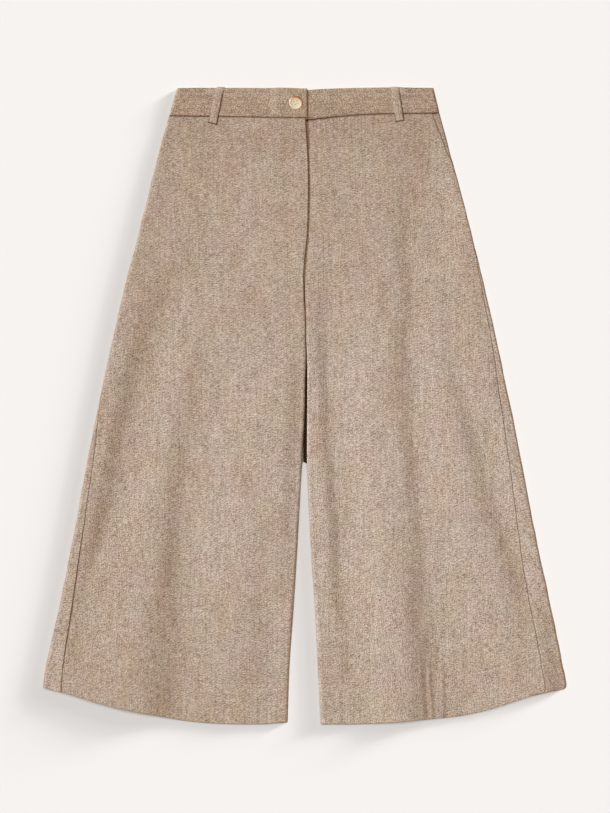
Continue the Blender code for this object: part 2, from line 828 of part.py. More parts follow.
def main():
    """Clears the scene, makes every piece and stands the garment on the origin."""
    for old in list(bpy.data.objects):
        bpy.data.objects.remove(old, do_unlink=True)
    for side in (RIGHT, LEFT):
        make_leg_panel("front_" + side, side, side, front_section)
        make_leg_panel("back_" + side, side, "back_" + side, back_section)
    make_waistbands()
    for loop in BELT_LOOPS:
        make_belt_loop(loop)
    make_button()
    stand_on_origin()


main()
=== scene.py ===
"""The looks of the wide culottes that lie flat on their back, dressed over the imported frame.

Lengths are millimetres until a mesh is made, and a mesh is in metres. A point of the cloth is given
by x, which runs to the wearer's left from the middle of the front, by drop, which runs down from the
top edge of the waistband, and by height above the surface that the garment lies on. Right and left
are the wearer's. Each leg is a flattened loop of cloth: the back wall lies on the surface, turns up
at the side fold and the inner fold, and the front wall lies on it in soft folds.
"""

import json
import logging
import math
from contextlib import contextmanager
from dataclasses import dataclass
from enum import Enum
from typing import Any, Iterator, NamedTuple, Sequence

import bpy
import numpy as np
from mathutils import Matrix, Vector

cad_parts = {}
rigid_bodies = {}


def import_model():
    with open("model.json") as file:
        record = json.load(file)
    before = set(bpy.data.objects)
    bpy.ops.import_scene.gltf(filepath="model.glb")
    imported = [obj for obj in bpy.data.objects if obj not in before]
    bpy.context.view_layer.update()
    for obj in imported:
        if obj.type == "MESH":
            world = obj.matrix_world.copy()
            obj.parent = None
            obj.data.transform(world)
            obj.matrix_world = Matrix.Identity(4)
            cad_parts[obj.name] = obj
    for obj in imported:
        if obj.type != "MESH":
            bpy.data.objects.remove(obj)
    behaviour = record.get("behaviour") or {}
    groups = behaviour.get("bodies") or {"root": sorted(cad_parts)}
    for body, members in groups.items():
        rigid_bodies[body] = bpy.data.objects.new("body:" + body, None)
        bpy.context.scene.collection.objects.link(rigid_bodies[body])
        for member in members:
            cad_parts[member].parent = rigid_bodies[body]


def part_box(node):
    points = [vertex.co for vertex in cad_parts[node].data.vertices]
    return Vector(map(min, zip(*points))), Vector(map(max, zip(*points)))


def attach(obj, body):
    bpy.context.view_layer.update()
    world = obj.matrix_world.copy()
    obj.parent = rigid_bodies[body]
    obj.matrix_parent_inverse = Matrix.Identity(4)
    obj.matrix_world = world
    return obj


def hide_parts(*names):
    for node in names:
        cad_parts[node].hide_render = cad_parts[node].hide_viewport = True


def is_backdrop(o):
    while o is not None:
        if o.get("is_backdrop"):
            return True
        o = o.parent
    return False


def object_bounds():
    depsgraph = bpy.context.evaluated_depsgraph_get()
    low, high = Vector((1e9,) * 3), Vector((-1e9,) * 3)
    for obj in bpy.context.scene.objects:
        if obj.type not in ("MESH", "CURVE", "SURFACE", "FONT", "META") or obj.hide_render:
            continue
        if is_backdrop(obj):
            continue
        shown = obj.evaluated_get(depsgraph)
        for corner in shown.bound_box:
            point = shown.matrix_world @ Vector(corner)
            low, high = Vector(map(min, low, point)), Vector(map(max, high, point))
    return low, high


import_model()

Grid = np.ndarray
Piece = bpy.types.Object
Material = bpy.types.Material
Node = bpy.types.Node
Socket = bpy.types.NodeSocket
Tree = bpy.types.NodeTree

CAD_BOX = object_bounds()
MM = 0.001
ROOT = "root"
CLOTH_UV = "cloth"
# Name of the mesh attribute that holds painted shade: how far each point of cloth is darkened for shade in
# seams, creases, gaps and along edges
PAINTED_SHADE = "painted_shade"
WHITE = "#ffffff"

log = logging.getLogger("culottes")


class Side(Enum):
    """The wearer's right or left."""

    RIGHT = "right"
    LEFT = "left"

    @property
    def sign(self) -> int:
        """-1 on the wearer's right and 1 on the wearer's left."""
        return -1 if self is Side.RIGHT else 1


class Face(Enum):
    """The front or the back of a leg."""

    FRONT = "front"
    BACK = "back"


class Table:
    """Rows of numbers under named columns, of which the first is the place that a row stands for."""

    def __init__(self, columns: str, *rows: Sequence[float]) -> None:
        """Keeps each column's numbers under its name."""
        self.columns = dict(zip(columns.split(), np.array(rows, float).T))
        self.places = self.columns[columns.split()[0]]

    def first(self, name: str) -> float:
        """A column's number in the first row."""
        return float(self.columns[name][0])

    def last(self, name: str) -> float:
        """A column's number in the last row."""
        return float(self.columns[name][-1])

    def at(self, place: Any, name: str) -> Grid:
        """Reads a column on a smooth curve through its rows that never overshoots.

        Args:
            place: One place or an array of them.
            name: The column's name.

        Returns:
            The column's numbers at the places.
        """
        at, value = self.places, self.columns[name]
        slope = np.diff(value) / np.diff(at)
        before, after = np.append(slope[0], slope), np.append(slope, slope[-1])
        agree = before * after > 0
        tangent = np.where(agree, 2 * before * after / np.where(agree, before + after, 1), 0)
        place = np.clip(place, at[0], at[-1])
        k = np.clip(np.searchsorted(at, place, side="right") - 1, 0, len(at) - 2)
        span = at[k + 1] - at[k]
        t = (place - at[k]) / span
        return (
            value[k] * (1 + 2 * t) * (1 - t) ** 2
            + tangent[k] * span * t * (1 - t) ** 2
            + value[k + 1] * t * t * (3 - 2 * t)
            + tangent[k + 1] * span * t * t * (t - 1)
        )


class Pair(NamedTuple):
    """A number for the wearer's right and one for the left."""

    right: float
    left: float

    def of(self, side: Side) -> float:
        """The number for a side."""
        return self.right if side is Side.RIGHT else self.left


class Span(NamedTuple):
    """Two places between which something sets in, or the two values that it goes between."""

    start: float
    end: float

    def passed(self, place: Any) -> Any:
        """0 up to the start, 1 from the end on, and a smooth rise between them."""
        return ease_between(self.start, self.end, place)


class Crease(NamedTuple):
    """A small ridge, or a trough if its height is negative, along a straight line."""

    x: float
    drop: float
    to_x: float
    to_drop: float
    width: float
    height: float


EDGE = "drop right left"
WAIST = "out right left back_right back_left"
# Where a fold's bottom runs, how wide it is and how deep, from 0 to 1, at a drop
FOLD = "drop x width depth"

# Distance of each leg's outer edge, then of its inner edge, from the middle
OUTER_EDGE = Table(
    EDGE,
    (-3, 166, 166), (36, 177.6, 175.4), (81, 190, 187.6), (159, 209.6, 208.5), (263, 236.2, 234),
    (367, 259.8, 257), (471, 281, 278.4), (575, 300.4, 298.2), (679, 321.2, 320.3),
    (757, 338.5, 336.2), (785, 342.2, 341.6),
)
INNER_EDGE = Table(
    EDGE,
    (30, 0.15, 0.15), (309, 0.15, 0.15), (350, -1.0, 1.5), (382, 0.2, 1.9), (412, 0.6, 1.8),
    (474, 3.1, 1.4), (497, 4.6, 2.1), (600, 10.3, 7), (679, 15.2, 12.4), (757, 20.6, 16.3),
    (830, 23, 20),
)
# How far past its inner edge a front runs: the right one to the fly's edge, the left one as underlap
FRONT_PAST = Table(
    EDGE,
    (30, -0.4, 28), (61, 1.5, 28), (88, 3.1, 28), (125, 4.2, 28), (150, 3.9, 28), (188, 2.6, 26),
    (222, -0.7, 18), (246, -2.1, 2.6), (262, -1.7, 1.7), (309, 0.3, -0.3), (340, 0, 0), (830, 0, 0),
)
# Where the seam of both backs runs
BACK_SEAM = Table("drop x", (30, 0), (350, 0), (412, -2.9), (485, -3.3))
# How far each wall is rolled round the inner fold, up to 1 for a quarter turn
INNER_ROLL = Table(
    "drop front back",
    (30, 0, 0), (309, 0, 0), (345, 0.5, 0), (385, 1, 0), (492, 1, 0), (512, 1, 1), (830, 1, 1),
)
# The side seam, as millimetres of cloth from the side fold on to the front face
SIDE_SEAM = Table(
    EDGE,
    (30, -1.5, 11.5), (55, -1.5, 8.3), (80, -1.5, 5.9), (104, -1.5, 0.5), (190, -1.5, 0.5),
    (226, -1.5, 3.6), (285, -1.5, 6.2), (330, -1.5, 8.2), (380, 0.5, 11.3), (425, 5.2, 14.2),
    (485, 10.3, 17.3), (560, 13.1, 21.8), (660, 18.2, 27.5), (720, 22.4, 28.3), (785, 27.5, 29.9),
)
# Drops of the waistband's top edge, of the seam under it and of the hem, out from the middle
BAND_TOP = Table(
    WAIST,
    (0, 0.6, 2.5, 4.2, 4.2), (36, -0.1, 0.5, 3.4, 3.2), (81, -0.3, -0.7, 1.8, 1.4),
    (126, -0.5, -1.1, 0.5, 0.1), (180, -0.2, -0.2, -0.2, -0.2),
)
WAIST_SEAM = Table(
    WAIST,
    (0, 39, 42, 40, 40), (36, 38.6, 38, 39.9, 39.3), (81, 37.6, 34.3, 38.7, 37.3),
    (126, 37, 33.2, 37.7, 35), (180, 36.2, 32.4, 36.2, 32.4),
)
HEM = Table(
    "out right left",
    (20, 825, 827), (60, 827.3, 827.2), (110, 826.5, 825), (150, 823.4, 821.5), (195, 815.4, 818),
    (235, 807.6, 810.4), (275, 797.6, 798.1), (310, 787, 787.2), (342, 779.8, 781.8),
)
# How far each hem's outer corner is rounded off
CORNER_DEPTH = Pair(1, 6)
# Height of the front wall in a fold's bottom, on a crest, and at each leg's side and inner fold
FULLNESS = Table(
    "drop trough crest outer_right outer_left inner_right inner_left",
    (30, 5.3, 5.3, 5.3, 5.3, 5.3, 5.3), (95, 3.4, 5.9, 6.2, 5.0, 5.0, 5.0),
    (200, 3.0, 6.8, 7.0, 5.4, 4.8, 5.4), (400, 2.9, 8.6, 7.2, 6.0, 5.4, 6.4),
    (600, 2.9, 9.6, 7.8, 6.4, 6.8, 7.4), (700, 3.8, 10.2, 8.2, 6.6, 6.4, 7.4),
    (772, 5.0, 10.8, 8.4, 6.8, 5.8, 7.4), (830, 5.1, 11.2, 8.4, 7.0, 5.6, 7.4),
)
FOLDS = {
    "right_outer": Table(
        FOLD,
        (198, -152, 22, 0.0), (276, -175, 26, 0.8), (380, -213, 22, 1.0), (471, -235, 22, 1.0),
        (562, -254, 20, 0.8), (640, -276, 20, 0.45), (718, -292, 22, 0.3), (790, -306, 20, 0.0),
    ),
    "right_middle": Table(
        FOLD,
        (276, -112, 20, 0.0), (380, -128, 24, 0.65), (471, -147, 22, 0.72), (562, -157, 22, 0.9),
        (640, -160, 24, 0.95), (718, -155, 33, 1.0), (783, -155, 36, 1.0), (830, -153, 37, 1.0),
    ),
    "right_inner": Table(
        FOLD,
        (560, -50, 16, 0.0), (640, -44, 24, 0.4), (718, -38, 36, 0.75), (783, -32, 48, 1.0),
        (830, -28, 50, 1.0),
    ),
    "left_inner": Table(
        FOLD,
        (220, 28, 14, 0.0), (276, 31, 15, 0.5), (380, 31, 15, 0.85), (471, 38, 16, 0.8),
        (562, 46, 16, 0.75), (640, 50, 16, 0.75), (718, 62, 20, 0.4), (830, 74, 20, 0.35),
    ),
    "left_middle": Table(
        FOLD,
        (46, 160, 22, 0.0), (81, 152, 22, 0.7), (172, 136, 18, 0.9), (276, 139, 16, 0.7),
        (380, 140, 17, 0.7), (471, 146, 16, 0.65), (562, 154, 18, 0.6), (640, 162, 22, 0.85),
        (718, 176, 29, 1.0), (783, 189, 38, 1.0), (830, 193, 41, 1.0),
    ),
    "left_hip": Table(
        FOLD,
        (46, 180, 20, 0.0), (90, 180, 21, 0.6), (172, 177, 20, 0.65), (250, 182, 20, 0.0),
    ),
    "left_outer": Table(
        FOLD,
        (230, 180, 14, 0.0), (276, 188, 16, 0.35), (380, 204, 16, 0.5), (471, 232, 19, 0.8),
        (562, 257, 18, 0.75), (640, 285, 19, 0.7), (718, 298, 18, 0.2), (760, 302, 18, 0.0),
    ),
}
# Where the front wall swells above its crest height beside a fold, by so many millimetres
SWELLS = {
    "right_hem": Table(
        FOLD,
        (560, -206, 26, 0.0), (640, -210, 28, 0.6), (718, -213, 32, 2.2), (783, -213, 34, 3.2),
        (830, -212, 35, 3.6),
    ),
    "left_hem": Table(
        FOLD,
        (560, 120, 18, 0.0), (640, 122, 20, 1.2), (718, 125, 24, 3.0), (783, 128, 28, 4.8),
        (830, 130, 30, 5.2),
    ),
}
# A fold falls steeply to its bottom from the wearer's right and rises this many times as slowly beyond,
# and a swell rises as slowly and falls as steeply
FOLD_LEAN = 2.4
# Small creases: troughs and ridges at the left hem, the sunken centre seam, then drags under the belt
# loops and at the fly
CREASES = (
    Crease(157, 740, 159, 826, 3.6, -0.85),
    Crease(159.7, 740, 166.3, 826, 3.0, 0.6),
    Crease(162.3, 740, 168.9, 826, 1.5, -0.7),
    Crease(177.2, 740, 178.4, 818, 2.8, 0.9),
    Crease(-0.5, 258, 0.2, 352, 3.2, -0.5),
    Crease(-127, 44, -125, 72, 5.0, -0.5),
    Crease(-60, 52, -56, 96, 6.0, -0.4),
    Crease(12, 60, 26, 150, 5.0, -0.35),
    Crease(-14, 210, -40, 250, 7.0, -0.3),
)
# Painted shade in the sharp pinches of those creases at the left hem: how dark each is, given as if it were a
# height
PAINTED_PINCH_SHADE = (
    Crease(161.6, 740, 165.2, 824, 1.3, 0.3),
    Crease(151.5, 745, 155, 824, 2.0, 0.14),
    Crease(179.6, 745, 180.6, 824, 1.6, 0.14),
)
# Layers of soft unevenness: how far apart the waves are across and down, how high, and their seed
RIPPLES = ((70, 150, 0.34, 3), (24, 46, 0.16, 5), (9, 13, 0.05, 7))
BAND_RIPPLES = ((21, 15, 0.16, 37), (7, 8, 0.06, 41))


def linear(hex_colour: str) -> tuple[float, ...]:
    """Turns an sRGB hex colour into linear red, green, blue and alpha.

    Args:
        hex_colour: The colour as # and six hex digits.

    Returns:
        Four numbers from 0 to 1.
    """
    channels = [int(hex_colour[i : i + 2], 16) / 255 for i in (1, 3, 5)]
    return tuple(c / 12.92 if c <= 0.04045 else ((c + 0.055) / 1.055) ** 2.4 for c in channels) + (1.0,)


def mix(start: Any, end: Any, share: Any) -> Any:
    """The value at a share of the way from start to end."""
    return start + (end - start) * share


def ease_between(low: Any, high: Any, value: Any) -> Any:
    """0 up to low, 1 from high on, and a smooth rise between them."""
    share = np.clip((value - low) / (high - low), 0, 1)
    return share * share * (3 - 2 * share)


def bell(distance: Any, width: Any) -> Any:
    """1 at no distance and almost 0 from two widths on."""
    return np.exp(-((distance / width) ** 2))


def soft_noise(x: Any, y: Any, seed: int) -> Grid:
    """Smooth noise from -1 to 1, with bumps about one unit apart.

    Args:
        x: Places across, in units.
        y: Places down, in units.
        seed: Chooses the bumps.

    Returns:
        The noise at the places.
    """
    size = 512
    lattice = np.random.default_rng(seed).uniform(-1, 1, (size, size))
    x, y = np.broadcast_arrays(np.asarray(x, float), np.asarray(y, float))
    column, row = np.floor(x), np.floor(y)
    u, v = (w * w * w * (w * (w * 6 - 15) + 10) for w in (x - column, y - row))
    column, row = column.astype(int) % size, row.astype(int) % size
    right, below = (column + 1) % size, (row + 1) % size
    top = mix(lattice[row, column], lattice[row, right], u)
    bottom = mix(lattice[below, column], lattice[below, right], u)
    return mix(top, bottom, v)


def rounding(distance: Any, reach: float, depth: float) -> Grid:
    """How far a face has sunk at a distance from its edge, on a quarter of an ellipse.

    Args:
        distance: Millimetres from the edge.
        reach: Where the face starts to sink.
        depth: How far it sinks at the edge.

    Returns:
        The sinking in millimetres.
    """
    nearness = np.clip(1 - distance / reach, 0, 1)
    return depth * (1 - np.sqrt(1 - nearness**2))


def stations(start: float, end: float, step: float, edge: Sequence[float]) -> Grid:
    """Places from start to end, set as edge gives near both ends and about a step apart between them."""
    edge = np.array(edge)
    low, high = start + edge, (end - edge)[::-1]
    count = max(int(round((high[0] - low[-1]) / step)), 1)
    return np.concatenate([low, np.linspace(low[-1], high[0], count + 1)[1:-1], high])


class Placement:
    """Takes a point of the garment to the frame, with the button as the mark that both share."""

    def __init__(self, button_x: float, button_drop: float) -> None:
        """Finds the frame's shift from where its button is."""
        low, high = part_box("button")
        middle = (low + high) / 2 / MM
        self.shift_x, self.shift_y = middle.x - button_x, middle.y + button_drop

    def points(self, x: Any, drop: Any, height: Any) -> Grid:
        """Points in metres, one line each, in the frame."""
        x, drop, height = np.broadcast_arrays(x, drop, height)
        return np.stack([x + self.shift_x, self.shift_y - drop, height], axis=-1).reshape(-1, 3) * MM


PLACEMENT = Placement(button_x=-12.3, button_drop=19.5)


@dataclass(frozen=True)
class Cloth:
    """Thickness of the cloth, how it is turned up, and how it is lapped at the fly, in millimetres."""

    thickness: float = 1.2
    seam_gap: float = 0.3
    hem_depth: float = 52.0
    hem_thickness: float = 2.4
    hem_step: float = 2.0
    back_seam_gap: float = 0.4
    fork_drop: float = 488.0
    edge_reach: float = 28.0
    lap_lift: float = 1.5
    lap_lift_at_waist: float = 2.6
    lap_slope: Span = Span(-70, -10)
    lap_levels_off: Span = Span(39, 95)
    lap_foot_margin: float = 12.0
    lap_foot_ease: float = 4.0
    corner_reach: float = 7.0
    wobble: float = 0.35
    wobble_length: float = 17.0
    relief_sets_in: Span = Span(39, 80)


CLOTH = Cloth()


def leaning(rows: Table, x: Grid, drop: Grid, slow_side: int) -> Grid:
    """A fold's depth or a swell's height, which falls off slowly towards the side with this sign."""
    across = (x - rows.at(drop, "x")) / rows.at(drop, "width")
    across = np.where(across * slow_side > 0, across / FOLD_LEAN, across)
    return np.where(drop > rows.places[0], rows.at(drop, "depth") * bell(across, 1), 0)


def fold_depth(x: Grid, drop: Grid) -> Grid:
    """How far the folds take the front wall down from its crest height: 0 none, 1 all."""
    return np.minimum(sum(leaning(rows, x, drop, 1) for rows in FOLDS.values()), 1)


def swell_height(x: Grid, drop: Grid) -> Grid:
    """How far the swells beside the folds take the front wall up."""
    return sum(leaning(rows, x, drop, -1) for rows in SWELLS.values())


def lap_lift(x: Grid, drop: Grid) -> Grid:
    """How much higher the right front lies over the left one's underlap."""
    underlap = FRONT_PAST.at(drop - CLOTH.lap_foot_margin, Side.LEFT.value)
    lift = mix(CLOTH.lap_lift_at_waist, CLOTH.lap_lift, CLOTH.lap_levels_off.passed(drop))
    return lift * CLOTH.lap_slope.passed(x + underlap) * ease_between(0, CLOTH.lap_foot_ease, underlap)


def crease_height(crease: Crease, x: Grid, drop: Grid) -> Grid:
    """The height that one small crease adds, with soft ends."""
    along = np.array([crease.to_x - crease.x, crease.to_drop - crease.drop])
    length = math.hypot(*along)
    out_x, out_drop = x - crease.x, drop - crease.drop
    share = (out_x * along[0] + out_drop * along[1]) / length**2
    across = (out_x * along[1] - out_drop * along[0]) / length
    ends = ease_between(-0.15, 0.2, share) * (1 - ease_between(0.8, 1.15, share))
    return crease.height * bell(across, crease.width) * ends


def rippling(layers: Sequence[tuple[float, ...]], x: Grid, drop: Grid) -> Grid:
    """The height that layers of soft unevenness add."""
    return sum(high * soft_noise(x / across, drop / down, seed) for across, down, high, seed in layers)


def relief(x: Grid, drop: Grid) -> Grid:
    """The height that small creases and soft unevenness add to the front wall."""
    return sum(crease_height(crease, x, drop) for crease in CREASES) + rippling(RIPPLES, x, drop)


class Rows:
    """The rows of one leg's front or back, from its inner edge to its outer edge.

    Every value is a column with a line for each row, so that a whole grid of points broadcasts over it.
    """

    def __init__(self, side: Side, waist: str, share: Grid) -> None:
        """Works out where each row runs.

        Args:
            side: Which leg.
            waist: The column of the waist tables that the leg hangs from.
            share: Each row's share of the way from the waist seam to the hem.
        """
        name = side.value
        self.side, self.waist, self.share = side, waist, share[:, None]
        gap = CLOTH.seam_gap * (1 - self.share)
        self.inner_drop = mix(WAIST_SEAM.first(waist), HEM.first(name), self.share) + gap
        self.outer_drop = mix(WAIST_SEAM.last(waist), HEM.last(name), self.share) + gap
        wobble = CLOTH.wobble * soft_noise(self.outer_drop / CLOTH.wobble_length, side.sign, 11)
        from_hem = (1 - self.share) * (HEM.last(name) - WAIST_SEAM.last(waist))
        corner = rounding(from_hem, CLOTH.corner_reach, CORNER_DEPTH.of(side))
        self.inner = INNER_EDGE.at(self.inner_drop, name)
        self.outer = OUTER_EDGE.at(self.outer_drop, name) + wobble - corner
        self.width = self.outer - self.inner
        self.outer_radius = FULLNESS.at(self.outer_drop, "outer_" + name) / 2
        self.inner_radius = FULLNESS.at(self.inner_drop, "inner_" + name) / 2
        self.quarter = self.outer_radius * math.pi / 2
        self.seam = SIDE_SEAM.at(self.outer_drop, name)

    def drop(self, across: Grid) -> Grid:
        """The drop at a share of the way from the inner to the outer edge."""
        share = np.clip(across, 0, 1)
        sag = 0
        ends = ((WAIST_SEAM, self.waist, 1 - self.share), (HEM, self.side.value, self.share))
        for line, name, weight in ends:
            chord = mix(line.first(name), line.last(name), share)
            out = mix(line.first("out"), line.last("out"), share)
            sag = sag + weight * (line.at(out, name) - chord)
        return mix(self.inner_drop, self.outer_drop, across) + sag

    def plan(self, inset: Grid) -> tuple[Grid, Grid]:
        """The x and drop of points that lie so many millimetres in from the outer edge."""
        across = 1 - inset / self.width
        return self.side.sign * mix(self.inner, self.outer, across), self.drop(across)

    def front_height(self, inset: Grid) -> Grid:
        """Height of the front wall's outer face at an inset from the outer edge."""
        x, drop = self.plan(inset)
        crest = FULLNESS.at(drop, "crest") + swell_height(x, drop)
        height = mix(crest, FULLNESS.at(drop, "trough"), fold_depth(x, drop))
        height = height + relief(x, drop) * CLOTH.relief_sets_in.passed(drop)
        near_outer = 1 - ease_between(self.outer_radius, CLOTH.edge_reach, inset)
        height = mix(height, 2 * self.outer_radius, near_outer)
        near_inner = 1 - ease_between(self.inner_radius, CLOTH.edge_reach, self.width - inset)
        near_inner = INNER_ROLL.at(self.inner_drop, Face.FRONT.value) * near_inner
        height = mix(height, 2 * self.inner_radius, near_inner)
        return height + lap_lift(x, drop) if self.side is Side.RIGHT else height


@dataclass
class Section:
    """A grid of points on the cloth's outer face, with the way out of the cloth at each."""

    inset: Grid
    height: Grid
    out_inset: Grid
    out_up: Grid

    @classmethod
    def join(cls, parts: Sequence["Section"]) -> "Section":
        """Sections side by side, as one."""
        names = ("inset", "height", "out_inset", "out_up")
        return cls(*(np.concatenate([getattr(p, n) for p in parts], axis=1) for n in names))

    def run(self) -> Grid:
        """Millimetres of cloth from the first column, along each row."""
        steps = np.hypot(np.diff(self.inset, axis=1), np.diff(self.height, axis=1))
        return np.concatenate([np.zeros((len(steps), 1)), np.cumsum(steps, axis=1)], axis=1)


def folded(rows: Rows, around: Grid) -> Section:
    """Points of the wall near the side fold.

    Args:
        rows: The leg's rows.
        around: Millimetres of cloth from the fold's outermost line, towards the front if positive.

    Returns:
        The points' section.
    """
    around = np.broadcast_to(around, np.broadcast(around, rows.quarter).shape)
    angle = np.clip(around, -rows.quarter, rows.quarter) / rows.outer_radius
    beyond = np.maximum(np.abs(around) - rows.quarter, 0)
    inset = rows.outer_radius * (1 - np.cos(angle)) + beyond
    height = rows.outer_radius * (1 + np.sin(angle))
    height = np.where(around > rows.quarter, rows.front_height(inset), height)
    return Section(inset, height, -np.cos(angle), np.sin(angle))


def rolled(rows: Rows, past: Grid, roll: Grid, face: Face, from_edge: Grid) -> Section:
    """Points of the wall within its inner roll.

    Args:
        rows: The leg's rows.
        past: How far the wall runs past the inner edge.
        roll: How far it rolls, from 0 to a whole quarter turn at 1.
        face: The leg's face.
        from_edge: Millimetres of cloth from the wall's inner edge.

    Returns:
        The points' section.
    """
    radius = rows.inner_radius
    length = radius * math.pi / 2 - CLOTH.seam_gap / 2
    turned = np.maximum(roll, 0.001)
    bend = radius / turned
    angle = turned * (length - from_edge) / radius
    inset = rows.width + past - bend * np.sin(turned * length / radius) + bend * np.sin(angle)
    turn = np.where(roll > 0.01, bend * (1 - np.cos(angle)), 0)
    if face is Face.FRONT:
        return Section(inset, rows.front_height(inset) - turn, np.sin(angle), np.cos(angle))
    return Section(inset, turn, np.sin(angle), -np.cos(angle))


def wall_faces(row_count: int, column_count: int, flip: bool) -> Grid:
    """Faces of a closed wall between two equal grids, all turned outwards.

    Args:
        row_count: Rows of a grid.
        column_count: Columns of a grid.
        flip: Whether the columns run towards smaller x on an upper face.

    Returns:
        Four point numbers for each face. The outer grid's points come first.
    """
    number = np.arange(row_count * column_count).reshape(row_count, column_count)
    count = number.size
    corners = (number[:-1, :-1], number[1:, :-1], number[1:, 1:], number[:-1, 1:])
    outer = np.stack([c.ravel() for c in corners], axis=1)
    inner = outer[:, ::-1] + count
    loop = np.concatenate([number[:-1, 0], number[-1, :-1], number[:0:-1, -1], number[0, :0:-1]])
    ahead = np.roll(loop, -1)
    rim = np.stack([ahead, loop, loop + count, ahead + count], axis=1)
    faces = np.concatenate([outer, inner, rim])
    return faces[:, ::-1] if flip else faces


def dress(piece: Piece, finish: Material, slot: str, node: str | None = None) -> None:
    """Gives a piece its finish and its body, and hides the node that it stands for."""
    piece.data.materials.clear()
    piece.data.materials.append(finish)
    if node:
        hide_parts(node)
    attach(piece, ROOT)
    log.info("%s: %d faces", piece.name, len(piece.data.polygons))


@dataclass(frozen=True)
class Sheet:
    """A closed sheet of cloth that stands for a node and is laid on other sheets."""

    node: str
    kind: str
    slot: str
    rests_on: tuple[str, ...] = ()

    def build(
        self, walls: Sequence[Grid], across: Grid, down: Grid, shades: Grid, flip: bool, finish: Material
    ) -> Piece:
        """Makes the sheet and works out its flat size.

        Args:
            walls: Points of the outer and of the inner face, in metres.
            across: Millimetres of cloth across, for the grid of an outer point each.
            down: Millimetres of cloth down, for the same grid.
            shades: The painted shade at each point, from 0 to 1, the outer points first.
            flip: Whether the columns run towards smaller x on an upper face.
            finish: The cloth.

        Returns:
            The sheet's object, with its cloth UV map in metres and its painted shade.
        """
        name = f"{self.node}_{self.kind}"
        mesh = bpy.data.meshes.new(name)
        mesh.from_pydata(np.concatenate(walls).tolist(), [], wall_faces(*across.shape, flip).tolist())
        mesh.polygons.foreach_set("use_smooth", np.ones(len(mesh.polygons), bool))
        corner = np.zeros(len(mesh.loops), int)
        mesh.loops.foreach_get("vertex_index", corner)
        uv = np.tile(np.stack([across.ravel(), down.ravel()], axis=1), (2, 1)) * MM
        mesh.uv_layers.new(name=CLOTH_UV).data.foreach_set("uv", uv[corner].ravel())
        # Stores the painted shade on each point, for the cloth's material to darken it by
        stored = mesh.attributes.new(PAINTED_SHADE, "FLOAT", "POINT")
        stored.data.foreach_set("value", shades.astype(np.float32))
        mesh.update()
        piece = bpy.data.objects.new(name, mesh)
        bpy.context.scene.collection.objects.link(piece)
        dress(piece, finish, self.slot, self.node)
        self.declare(across, down)
        return piece

    def declare(self, across: Grid, down: Grid) -> None:
        """Works out the flat size of the laid sheet, the box of its cut and the cut's own area, and keeps
        neither.

        Args:
            across: Millimetres of cloth across, for the grid of its points.
            down: Millimetres of cloth down, for the same grid.
        """
        along_rows = np.diff(across, axis=1)[:-1] * np.diff(down, axis=0)[:, :-1]
        along_columns = np.diff(across, axis=0)[:, :-1] * np.diff(down, axis=1)[:-1]
        area = max(float(np.abs(cells).sum()) for cells in (along_rows, along_columns)) * MM * MM
        width, length = float(np.ptp(across)) * MM, float(np.ptp(down)) * MM
        area = min(area, width * length)
        list(self.rests_on)


